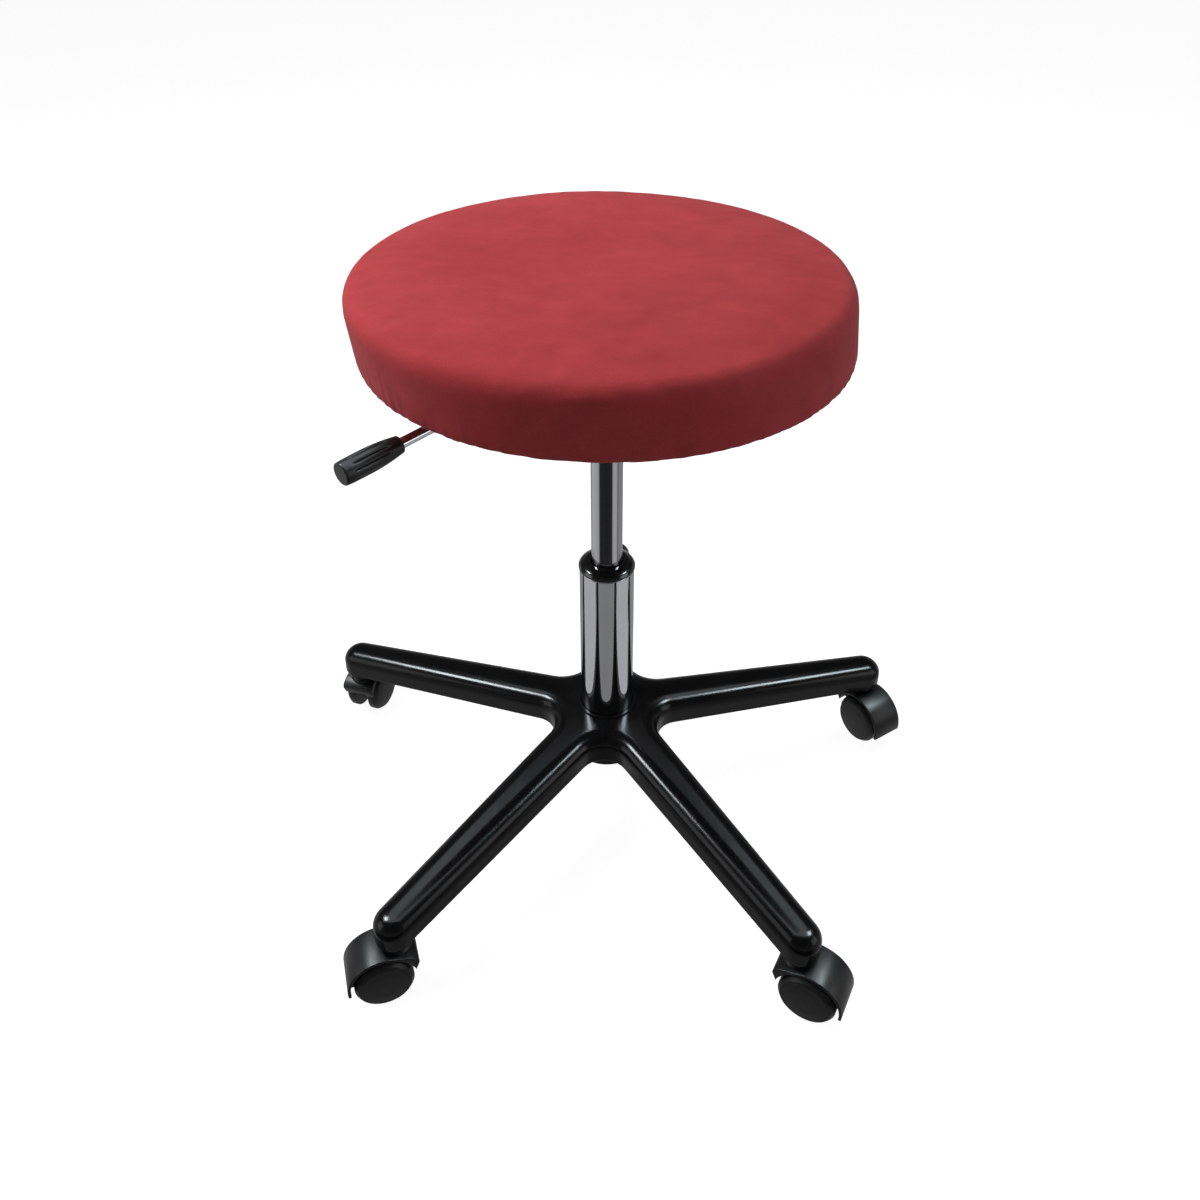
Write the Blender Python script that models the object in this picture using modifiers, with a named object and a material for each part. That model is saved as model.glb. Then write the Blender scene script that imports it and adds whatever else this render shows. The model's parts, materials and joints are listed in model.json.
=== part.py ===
"""Adjustable swivel stool: round padded seat on a gas lift, five-arm base on twin-wheel casters.

Units are metres. +Z is up, the floor is z = 0 and the origin is under the middle of the whole stool.
The back arm of the base points along +Y.
"""

from math import atan2, cos, hypot, pi, radians, sin, sqrt

import bmesh
import bpy
from mathutils import Matrix

# Clearance kept between pieces that touch.
GAP = 0.0003

# The column stands a little off the origin, because the back arm and the right caster reach furthest.
COLUMN_X = -0.0089
COLUMN_Y = -0.0180

# Base: arm tips end on a circle, and the arms slope down from the hub.
ARM_COUNT = 5
STEM_CIRCLE = 0.281
ARM_TIP_HALF_WIDTH = 0.0165
ARM_HUB_HALF_WIDTH = 0.0233
ARM_TOP_AT_CENTRE = 0.1125
ARM_HEIGHT = 0.0265
ARM_SLOPE = 0.0845
ARM_SHOULDER_RADIUS = 0.013
ARM_WALL = 0.004
ARM_FILLET = 0.024
HOLLOW_START = 0.066
HOLLOW_END = 0.250
HUB_TOP = 0.1112
HUB_BOTTOM = 0.056
HUB_BOSS_RADIUS = 0.036
TIP_BOSS_RADIUS = 0.012
TIP_BOSS_BOTTOM = 0.058
SOCKET_TOP = 0.082

# Gas lift.
TUBE_RADIUS = 0.025
TUBE_WALL = 0.0018
TUBE_TOP = 0.2705
TUBE_BOTTOM = 0.0552
TUBE_FLOOR_TOP = 0.062
TUBE_FLOOR_BOTTOM = 0.0595
CAP_RADIUS = 0.02575
CAP_TOP = 0.2783
CYLINDER_RADIUS = 0.014
CYLINDER_BORE = 0.0117
CYLINDER_BOTTOM = 0.225
CYLINDER_CONE_START = 0.440
CYLINDER_TOP = 0.474
CYLINDER_BORE_TOP = 0.450
CYLINDER_TOP_RADIUS = 0.0132
BUSH_BOTTOM = 0.150
RACE_RADIUS = 0.012
RACE_THICKNESS = 0.0024
BALL_THICKNESS = 0.003
PISTON_ROD_RADIUS = 0.005
ROD_NECK_RADIUS = 0.0030
ROD_GROOVE_RADIUS = 0.0033
BUTTON_RADIUS = 0.0032
ROD_FOOT_RADIUS = 0.0042
PISTON_BOTTOM = 0.250
PISTON_TOP = 0.262

# Seat.
SEAT_TOP = 0.558
SEAT_RADIUS = 0.1955
SEAT_BOTTOM = 0.4965
SEAT_LEAN = -0.0055
UNDERSIDE = 0.500
SEAT_EDGE_RADIUS = 0.012
COVER_THICKNESS = 0.002
BOARD_RADIUS = 0.186
BOARD_BOTTOM = 0.5022
BOARD_THICKNESS = 0.012
PLATE_SIDE = 0.150
PLATE_TOP = 0.4997
PLATE_THICKNESS = 0.0035
BOLT_SPACING = 0.110
PLATE_SOCKET_RADIUS = 0.019
PLATE_SOCKET_BOTTOM = 0.446
SOCKET_ROOF = 0.495
BOLT_HEAD_RADIUS = 0.0062
BOLT_RADIUS = 0.0030
BOLT_TOP = 0.5105

# Lever: its local +X runs outwards from the pivot.
LEVER_ANGLE = radians(-131.8)
LEVER_PIVOT_RADIUS = 0.060
LEVER_BEND = 0.160
LEVER_DROOP = radians(3.4)
LEVER_HEIGHT = 0.4875
LEVER_ROD_RADIUS = 0.004
LEVER_INNER_END = -0.002
LEVER_ROD_END = 0.240
GRIP_START = 0.204
GRIP_END = 0.252
GRIP_RADIUS = 0.009
PIN_RADIUS = 0.0020
PIN_HEAD_RADIUS = 0.0034
EAR_LENGTH = 0.014
EAR_INNER_FACE = 0.0048
EAR_OUTER_FACE = 0.0070

# Casters: local +X runs from the stem towards the axle.
WHEEL_STEPS = 18
WHEEL_RADIUS = 0.025
AXLE_HEIGHT = WHEEL_RADIUS * cos(pi / WHEEL_STEPS)
TRAIL = 0.014
STEM_RADIUS = 0.0055
STEM_BOTTOM = 0.034
STEM_TOP = 0.0805
WEB_HALF_WIDTH = 0.0072
WHEEL_INNER_FACE = 0.0076
WHEEL_OUTER_FACE = 0.0193
AXLE_RADIUS = 0.003
AXLE_HALF_LENGTH = 0.0174
HOOD_OUTER = 0.0302
HOOD_INNER = 0.0277
HOOD_HALF_WIDTH = 0.0168
HOOD_REAR_ANGLE = radians(-8)
HOOD_TOP_ANGLE = radians(100)
HOOD_FRONT_ANGLE = radians(163)
HOOD_NOSE = ((-0.0140, 0.0268), (-0.0230, 0.0245), (-0.0290, 0.0205), (-0.0300, 0.0165))
HOOD_NECK_RADIUS = 0.0102
HOOD_NECK_TOP = 0.0558

# One row per arm: the arm's direction and the way its caster trails, in degrees.
CASTERS = (
    ("back", 90.0, 270.0),
    ("left", 162.0, 75.0),
    ("front_left", 234.0, -159.5),
    ("front_right", 306.0, -26.5),
    ("right", 18.0, -56.0),
)


# ---------------------------------------------------------------- scene and materials


def clear_scene():
    for thing in list(bpy.data.objects):
        bpy.data.objects.remove(thing, do_unlink=True)


def new_collection(name, hidden=False):
    collection = bpy.data.collections.new(name)
    collection.hide_render = hidden
    bpy.context.scene.collection.children.link(collection)
    return collection


clear_scene()
STOOL = new_collection("swivel_stool")
CUTTERS = new_collection("cutters", hidden=True)


def material(name, colour, roughness, metallic=0.0):
    made = bpy.data.materials.new(name)
    made.use_nodes = True
    made.diffuse_color = (*colour, 1.0)
    shader = made.node_tree.nodes["Principled BSDF"]
    shader.inputs["Base Color"].default_value = (*colour, 1.0)
    shader.inputs["Roughness"].default_value = roughness
    shader.inputs["Metallic"].default_value = metallic
    return made


COVER_RED = material("red_cover", (0.38, 0.045, 0.055), 0.85)
FOAM_CREAM = material("foam", (0.75, 0.68, 0.50), 0.95)
PLYWOOD = material("plywood", (0.60, 0.42, 0.25), 0.7)
DUST_BLACK = material("dust_cloth", (0.02, 0.02, 0.02), 0.95)
BASE_BLACK = material("black_base", (0.015, 0.015, 0.017), 0.35)
PLASTIC_BLACK = material("black_plastic", (0.02, 0.02, 0.022), 0.4)
CASTER_BLACK = material("black_caster", (0.025, 0.025, 0.027), 0.45)
CHROME = material("chrome", (0.62, 0.63, 0.65), 0.12, 1.0)
STEEL = material("steel", (0.45, 0.46, 0.48), 0.35, 1.0)
PAINTED_STEEL = material("black_steel", (0.02, 0.02, 0.02), 0.5)
NYLON = material("white_nylon", (0.72, 0.72, 0.70), 0.5)
BRASS = material("brass", (0.70, 0.52, 0.22), 0.35, 1.0)


# ---------------------------------------------------------------- shape tools


def pivot(name, location, parent=None, turn=0.0):
    """An empty on a joint's axis. Its pieces are placed in its frame."""
    empty = bpy.data.objects.new(name, None)
    empty.empty_display_size = 0.02
    empty.location = location
    empty.rotation_euler = (0.0, 0.0, turn)
    empty.parent = parent
    STOOL.objects.link(empty)
    return empty


def place(mesh, name, look=None, parent=None, location=(0, 0, 0), turn=(0, 0, 0), cutter=None):
    """An object for this mesh: a piece of the stool, or a cutter in the collection given."""
    made = bpy.data.objects.new(name, mesh)
    if look and not mesh.materials:
        mesh.materials.append(look)
    (cutter or STOOL).objects.link(made)
    if cutter:
        made.hide_render = True
        made.display_type = "WIRE"
    made.parent = parent
    made.location = location
    made.rotation_euler = turn
    return made


def mesh_from(shape, name):
    mesh = bpy.data.meshes.new(name)
    shape.to_mesh(mesh)
    shape.free()
    return mesh


def turned_mesh(name, profile, steps, closed=True):
    """A profile of (radius, height) points turned about Z. It runs down the outside, then back inside."""
    shape = bmesh.new()
    points = [shape.verts.new((radius, 0.0, height)) for radius, height in profile]
    for first, second in zip(points, points[1:]):
        shape.edges.new((first, second))
    if closed:
        shape.edges.new((points[-1], points[0]))
    helper = bpy.data.objects.new(name, mesh_from(shape, name))
    CUTTERS.objects.link(helper)
    screw = helper.modifiers.new("turn", "SCREW")
    screw.steps = steps
    screw.render_steps = steps
    screw.use_merge_vertices = True
    screw.merge_threshold = 0.00001
    return finished_mesh(helper)


def finished_mesh(thing):
    """The mesh of an object with its modifiers applied. The object itself is removed."""
    bpy.context.view_layer.update()
    graph = bpy.context.evaluated_depsgraph_get()
    mesh = bpy.data.meshes.new_from_object(thing.evaluated_get(graph))
    mesh.name = thing.name
    bpy.data.objects.remove(thing, do_unlink=True)
    shape_smoothly(mesh)
    return mesh


def welded_mesh(curve_object):
    """The mesh of a curve object, with its caps joined to its sides. The curve is removed."""
    CUTTERS.objects.link(curve_object)
    mesh = finished_mesh(curve_object)
    shape = bmesh.new()
    shape.from_mesh(mesh)
    bmesh.ops.remove_doubles(shape, verts=shape.verts, dist=0.00001)
    shape.to_mesh(mesh)
    shape.free()
    return mesh


def shape_smoothly(mesh):
    mesh.shade_smooth()
    mesh.set_sharp_from_angle(angle=radians(35))


def extruded_mesh(name, outline, low, high):
    """A flat outline of (x, y) points raised from height low to height high."""
    shape = bmesh.new()
    face = shape.faces.new([shape.verts.new((x, y, low)) for x, y in outline])
    raised = bmesh.ops.extrude_face_region(shape, geom=[face])["geom"]
    tops = [item for item in raised if isinstance(item, bmesh.types.BMVert)]
    bmesh.ops.translate(shape, verts=tops, vec=(0, 0, high - low))
    bmesh.ops.recalc_face_normals(shape, faces=shape.faces)
    return mesh_from(shape, name)


def cylinder_mesh(name, radius, low, high, steps=24, top_radius=None):
    shape = bmesh.new()
    bmesh.ops.create_cone(
        shape,
        cap_ends=True,
        segments=steps,
        radius1=radius,
        radius2=radius if top_radius is None else top_radius,
        depth=high - low,
        matrix=Matrix.Translation((0, 0, (low + high) / 2)),
    )
    mesh = mesh_from(shape, name)
    shape_smoothly(mesh)
    return mesh


def box_mesh(name, low, high):
    shape = bmesh.new()
    size = Matrix.Diagonal([b - a for a, b in zip(low, high)]).to_4x4()
    middle = Matrix.Translation([(a + b) / 2 for a, b in zip(low, high)])
    bmesh.ops.create_cube(shape, size=1.0, matrix=middle @ size)
    return mesh_from(shape, name)


def bevel(thing, width, segments=2, by_weight=False):
    made = thing.modifiers.new("rounded_edges", "BEVEL")
    made.width = width
    made.segments = segments
    made.limit_method = "WEIGHT" if by_weight else "ANGLE"
    made.angle_limit = radians(40)
    return made


def boolean(thing, operation, other):
    """Joins or cuts a piece with one object, or with every object of a collection."""
    made = thing.modifiers.new(operation.lower(), "BOOLEAN")
    made.operation = operation
    made.solver = "EXACT"
    if isinstance(other, bpy.types.Collection):
        made.operand_type = "COLLECTION"
        made.collection = other
    else:
        made.object = other


def shape_group(name):
    group = bpy.data.collections.new(name)
    group.hide_render = True
    CUTTERS.children.link(group)
    return group


def arc(centre_x, centre_y, radius, start, end, steps):
    """Points along an arc, both ends included."""
    angles = [start + (end - start) * i / steps for i in range(steps + 1)]
    return [(centre_x + radius * cos(a), centre_y + radius * sin(a)) for a in angles]


def rounded_rectangle(half_x, half_y, radius, steps=4):
    corners = ((1, 1, 0), (-1, 1, 90), (-1, -1, 180), (1, -1, 270))
    points = []
    for side_x, side_y, angle in corners:
        start = radians(angle)
        x = side_x * (half_x - radius)
        y = side_y * (half_y - radius)
        points += arc(x, y, radius, start, start + pi / 2, steps)
    return points


def turned_outline(points, angle):
    return [(x * cos(angle) - y * sin(angle), x * sin(angle) + y * cos(angle)) for x, y in points]


# ---------------------------------------------------------------- base


def arm_half_width(radius):
    """The arm narrows evenly from the hub to its tip."""
    share = radius / STEM_CIRCLE
    return ARM_HUB_HALF_WIDTH + (ARM_TIP_HALF_WIDTH - ARM_HUB_HALF_WIDTH) * share


def star_outline():
    """The plan of the base: round tips, straight sides, and a fillet between neighbouring arms."""
    half_turn = pi / ARM_COUNT
    taper = atan2(ARM_HUB_HALF_WIDTH - ARM_TIP_HALF_WIDTH, STEM_CIRCLE)
    side_distance = ARM_HUB_HALF_WIDTH * cos(taper)
    fillet_reach = (side_distance + ARM_FILLET) / sin(half_turn + taper)
    turn = pi / 2 - half_turn - taper
    points = []
    for arm in range(ARM_COUNT):
        angle = pi / 2 + 2 * half_turn * arm
        tip = arc(STEM_CIRCLE, 0, ARM_TIP_HALF_WIDTH, -pi / 2 + taper, pi / 2 - taper, 8)
        fillet = arc(fillet_reach, 0, ARM_FILLET, pi + turn, pi - turn, 4)
        points += turned_outline(tip, angle)
        points += turned_outline(fillet, angle + half_turn)
    return points


def slope_down(mesh):
    """Lowers a flat shape evenly with its distance from the column."""
    for point in mesh.vertices:
        point.co.z -= ARM_SLOPE * hypot(point.co.x, point.co.y)


def weigh_rims(mesh, top, top_weight, bottom_weight):
    """Bevel weights for the rim edges of an extruded outline."""
    weights = mesh.attributes.new("bevel_weight_edge", "FLOAT", "EDGE")
    for edge in mesh.edges:
        first, second = (mesh.vertices[i].co for i in edge.vertices)
        if abs(first.z - second.z) < GAP:
            high = abs(first.z - top) < GAP
            weights.data[edge.index].value = top_weight if high else bottom_weight


def star_mesh():
    top = ARM_TOP_AT_CENTRE
    mesh = extruded_mesh("star", star_outline(), top - ARM_HEIGHT, top)
    weigh_rims(mesh, top, 1.0, 0.12)
    helper = place(mesh, "star", cutter=CUTTERS)
    bevel(helper, ARM_SHOULDER_RADIUS, 3, by_weight=True)
    mesh = finished_mesh(helper)
    slope_down(mesh)
    return mesh


def hub_mesh():
    """A low ring round the tube, and a round boss between and below the arms."""
    profile = [
        (0.0, HUB_TOP),
        (0.0272, HUB_TOP),
        (0.0280, HUB_TOP - 0.0008),
        (0.0290, 0.1080),
        (0.0440, 0.1062),
        (0.0500, 0.1035),
        (0.0510, 0.100),
        (0.0510, 0.086),
        (HUB_BOSS_RADIUS + 0.001, 0.082),
        (HUB_BOSS_RADIUS, HUB_BOTTOM + 0.003),
        (HUB_BOSS_RADIUS - 0.002, HUB_BOTTOM),
        (0.0, HUB_BOTTOM),
    ]
    return turned_mesh("hub", profile, 28, closed=False)


def arm_hollow_mesh():
    """The space under one arm, which is open at the bottom."""
    near, far = HOLLOW_START, HOLLOW_END
    near_half = arm_half_width(near) - ARM_WALL
    far_half = arm_half_width(far) - ARM_WALL
    outline = arc(far, 0, far_half, -pi / 2, pi / 2, 4)
    outline += [(near, near_half), (near - 0.008, near_half / 2)]
    outline += [(near - 0.008, -near_half / 2), (near, -near_half)]
    top = ARM_TOP_AT_CENTRE - ARM_WALL
    mesh = extruded_mesh("arm_hollow", outline, top - 2 * ARM_HEIGHT, top)
    weigh_rims(mesh, top, 1.0, 0.0)
    helper = place(mesh, "arm_hollow", cutter=CUTTERS)
    bevel(helper, ARM_SHOULDER_RADIUS - ARM_WALL, 2, by_weight=True)
    mesh = finished_mesh(helper)
    slope_down(mesh)
    return mesh


def make_base_star():
    star = place(star_mesh(), "base_star", BASE_BLACK, COLUMN)
    added = shape_group("base_added")
    cut = shape_group("base_cut")
    place(hub_mesh(), "hub_shape", parent=COLUMN, cutter=added)
    boss = cylinder_mesh("tip_boss", TIP_BOSS_RADIUS, TIP_BOSS_BOTTOM, 0.075, 16)
    hollow = arm_hollow_mesh()
    socket_radius = STEM_RADIUS + 0.0025
    socket = cylinder_mesh("socket", socket_radius, 0.045, SOCKET_TOP, 16)
    for side, arm_angle, _trail in CASTERS:
        turn = radians(arm_angle)
        spot = (STEM_CIRCLE * cos(turn), STEM_CIRCLE * sin(turn), 0)
        place(boss, "boss_" + side, parent=COLUMN, location=spot, cutter=added)
        place(hollow, "hollow_" + side, parent=COLUMN, turn=(0, 0, turn), cutter=cut)
        place(socket, "socket_" + side, parent=COLUMN, location=spot, cutter=cut)
    bore = cylinder_mesh("hub_bore", TUBE_RADIUS + 2 * GAP, 0.04, 0.14, 30)
    place(bore, "hub_bore", parent=COLUMN, cutter=cut)
    boolean(star, "UNION", added)
    boolean(star, "DIFFERENCE", cut)


# ---------------------------------------------------------------- gas lift


def make_column():
    inner = TUBE_RADIUS - TUBE_WALL
    foot = TUBE_RADIUS - 0.001
    tube = [
        (TUBE_RADIUS, TUBE_TOP),
        (TUBE_RADIUS, 0.115),
        (foot, TUBE_BOTTOM),
        (foot - 0.003, TUBE_BOTTOM),
        (foot - 0.003, TUBE_FLOOR_BOTTOM),
        (ROD_FOOT_RADIUS + GAP, TUBE_FLOOR_BOTTOM),
        (ROD_FOOT_RADIUS + GAP, TUBE_FLOOR_TOP),
        (foot - TUBE_WALL, TUBE_FLOOR_TOP),
        (inner, 0.115),
        (inner, TUBE_TOP),
    ]
    place(turned_mesh("outer_tube", tube, 26), "outer_tube", CHROME, COLUMN)

    low = TUBE_TOP + GAP
    hole = CYLINDER_RADIUS + GAP
    cap = [
        (hole + 0.0012, CAP_TOP),
        (0.0190, CAP_TOP - 0.0006),
        (0.0230, CAP_TOP - 0.0028),
        (0.0252, CAP_TOP - 0.0052),
        (CAP_RADIUS, low + 0.0009),
        (CAP_RADIUS - 0.0004, low),
        (inner - GAP, low),
        (inner - GAP, low - 0.006),
        (inner - 0.002, low - 0.006),
        (inner - 0.002, low + 0.0015),
        (hole, low + 0.0015),
        (hole, CAP_TOP - 0.0012),
    ]
    place(turned_mesh("tube_cap", cap, 26), "tube_cap", PLASTIC_BLACK, COLUMN)

    top = low - 0.0063
    bush = [
        (inner - GAP, top),
        (inner - GAP, BUSH_BOTTOM),
        (hole, BUSH_BOTTOM),
        (hole, top),
    ]
    place(turned_mesh("guide_bush", bush, 20), "guide_bush", NYLON, COLUMN)


def make_thrust_bearing():
    """Two hardened rings with a ball ring between them, standing on the tube's floor."""
    rod_hole = ROD_FOOT_RADIUS + GAP
    lower = TUBE_FLOOR_TOP + GAP
    race = ring_mesh("race", RACE_RADIUS, rod_hole, lower, lower + RACE_THICKNESS)
    place(race, "thrust_race_lower", STEEL, COLUMN)
    balls = lower + RACE_THICKNESS + GAP
    cage_outer, cage_inner = RACE_RADIUS - 0.0008, rod_hole + 0.0012
    cage = ring_mesh("ball_cage", cage_outer, cage_inner, balls, balls + BALL_THICKNESS)
    place(cage, "thrust_ball_cage", BRASS, SWIVEL)
    upper = balls + BALL_THICKNESS + GAP
    top_race = ring_mesh("upper_race", RACE_RADIUS, rod_hole, upper, upper + RACE_THICKNESS)
    place(top_race, "thrust_race_upper", STEEL, SWIVEL)
    return upper + RACE_THICKNESS


def ring_mesh(name, outer, inner, low, high, steps=16):
    return turned_mesh(name, [(outer, high), (outer, low), (inner, low), (inner, high)], steps)


def make_piston():
    shoulder = make_thrust_bearing() + GAP
    groove = TUBE_FLOOR_BOTTOM - GAP
    rod = [
        (0.0, PISTON_TOP + 0.004),
        (ROD_NECK_RADIUS, PISTON_TOP + 0.004),
        (ROD_NECK_RADIUS, PISTON_BOTTOM - GAP),
        (PISTON_ROD_RADIUS, PISTON_BOTTOM - GAP),
        (PISTON_ROD_RADIUS, shoulder),
        (ROD_FOOT_RADIUS, shoulder),
        (ROD_FOOT_RADIUS, groove),
        (ROD_GROOVE_RADIUS, groove),
        (ROD_GROOVE_RADIUS, groove - 0.0016),
        (ROD_FOOT_RADIUS, groove - 0.0016),
        (ROD_FOOT_RADIUS, groove - 0.003),
        (0.0, groove - 0.003),
    ]
    rod_mesh = turned_mesh("piston_rod", rod, 16, closed=False)
    place(rod_mesh, "piston_rod", STEEL, SWIVEL)
    head_radius = CYLINDER_BORE - GAP
    head = [
        (head_radius, PISTON_TOP),
        (head_radius, PISTON_TOP - 0.0045),
        (head_radius - 0.0012, PISTON_TOP - 0.0045),
        (head_radius - 0.0012, PISTON_BOTTOM + 0.0045),
        (head_radius, PISTON_BOTTOM + 0.0045),
        (head_radius, PISTON_BOTTOM),
        (ROD_NECK_RADIUS + GAP, PISTON_BOTTOM),
        (ROD_NECK_RADIUS + GAP, PISTON_TOP),
    ]
    place(turned_mesh("piston_head", head, 16), "piston_head", NYLON, SWIVEL)

    clip_inner = ROD_GROOVE_RADIUS + GAP
    clip_mesh = ring_mesh("rod_clip", 0.0085, clip_inner, groove - 0.0013, groove - GAP)
    clip = place(clip_mesh, "rod_clip", STEEL, SWIVEL)
    mouth_half = clip_inner - 0.0002
    mouth_mesh = box_mesh("clip_mouth", (0, -mouth_half, 0.05), (0.02, mouth_half, 0.07))
    mouth = place(mouth_mesh, "clip_mouth", parent=SWIVEL, cutter=CUTTERS)
    boolean(clip, "DIFFERENCE", mouth)


def make_cylinder():
    button_hole = BUTTON_RADIUS + GAP
    cylinder = [
        (CYLINDER_TOP_RADIUS - 0.0008, CYLINDER_TOP),
        (CYLINDER_TOP_RADIUS, CYLINDER_TOP - 0.0008),
        (CYLINDER_RADIUS, CYLINDER_CONE_START),
        (CYLINDER_RADIUS, CYLINDER_BOTTOM + 0.001),
        (CYLINDER_RADIUS - 0.001, CYLINDER_BOTTOM),
        (CYLINDER_BORE, CYLINDER_BOTTOM),
        (CYLINDER_BORE, CYLINDER_BORE_TOP),
        (button_hole, CYLINDER_BORE_TOP),
        (button_hole, CYLINDER_TOP),
    ]
    place(turned_mesh("gas_cylinder", cylinder, 24), "gas_cylinder", CHROME, SEAT)
    end = ring_mesh(
        "cylinder_end_bush",
        CYLINDER_BORE - GAP,
        PISTON_ROD_RADIUS + GAP,
        CYLINDER_BOTTOM + GAP,
        CYLINDER_BOTTOM + 0.0085,
    )
    place(end, "cylinder_end_bush", NYLON, SEAT)
    button_top = LEVER_HEIGHT - LEVER_ROD_RADIUS - GAP
    button = [
        (0.0, button_top),
        (BUTTON_RADIUS - 0.0006, button_top),
        (BUTTON_RADIUS, button_top - 0.0006),
        (BUTTON_RADIUS, CYLINDER_BORE_TOP + 0.004),
        (0.0, CYLINDER_BORE_TOP + 0.004),
    ]
    button_mesh = turned_mesh("release_button", button, 12, closed=False)
    place(button_mesh, "release_button", STEEL, BUTTON)


# ---------------------------------------------------------------- seat


def leaning(mesh):
    """Pushes the cushion's top a little to the left of its bottom, as a worn cushion sits."""
    for point in mesh.vertices:
        point.co.x += SEAT_LEAN * (point.co.z - UNDERSIDE) / (SEAT_TOP - UNDERSIDE)
    return mesh


def make_cushion():
    edge = SEAT_EDGE_RADIUS
    wall = COVER_THICKNESS
    outer = arc(SEAT_RADIUS - edge, SEAT_TOP - edge, edge, pi / 2, 0, 3)
    hem = BOARD_RADIUS - 0.012
    side_low = [
        (SEAT_RADIUS, SEAT_BOTTOM + 0.005),
        (SEAT_RADIUS - 0.0025, SEAT_BOTTOM + 0.0008),
        (SEAT_RADIUS - 0.006, SEAT_BOTTOM),
        (BOARD_RADIUS - 0.003, UNDERSIDE),
        (hem, UNDERSIDE),
        (hem, UNDERSIDE + wall - GAP),
        (SEAT_RADIUS - wall - 0.004, UNDERSIDE + wall - GAP),
        (SEAT_RADIUS - wall, UNDERSIDE + 0.009),
    ]
    inner = arc(SEAT_RADIUS - edge, SEAT_TOP - edge, edge - wall, 0, pi / 2, 2)
    cover = [(0.0, SEAT_TOP)] + outer + side_low + inner + [(0.0, SEAT_TOP - wall)]
    place(leaning(turned_mesh("seat_cover", cover, 40, closed=False)), "seat_cover", COVER_RED, SEAT)

    room = SEAT_RADIUS - wall - GAP
    foam_low = BOARD_BOTTOM + BOARD_THICKNESS + GAP
    foam_edge = edge - wall
    foam = [(0.0, SEAT_TOP - wall - GAP)]
    foam += arc(room - foam_edge, SEAT_TOP - wall - GAP - foam_edge, foam_edge, pi / 2, 0, 2)
    foam += [(room, foam_low), (0.0, foam_low)]
    place(leaning(turned_mesh("seat_foam", foam, 40, closed=False)), "seat_foam", FOAM_CREAM, SEAT)


def bolt_spots():
    half = BOLT_SPACING / 2
    return [(half, half), (-half, half), (-half, -half), (half, -half)]


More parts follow.
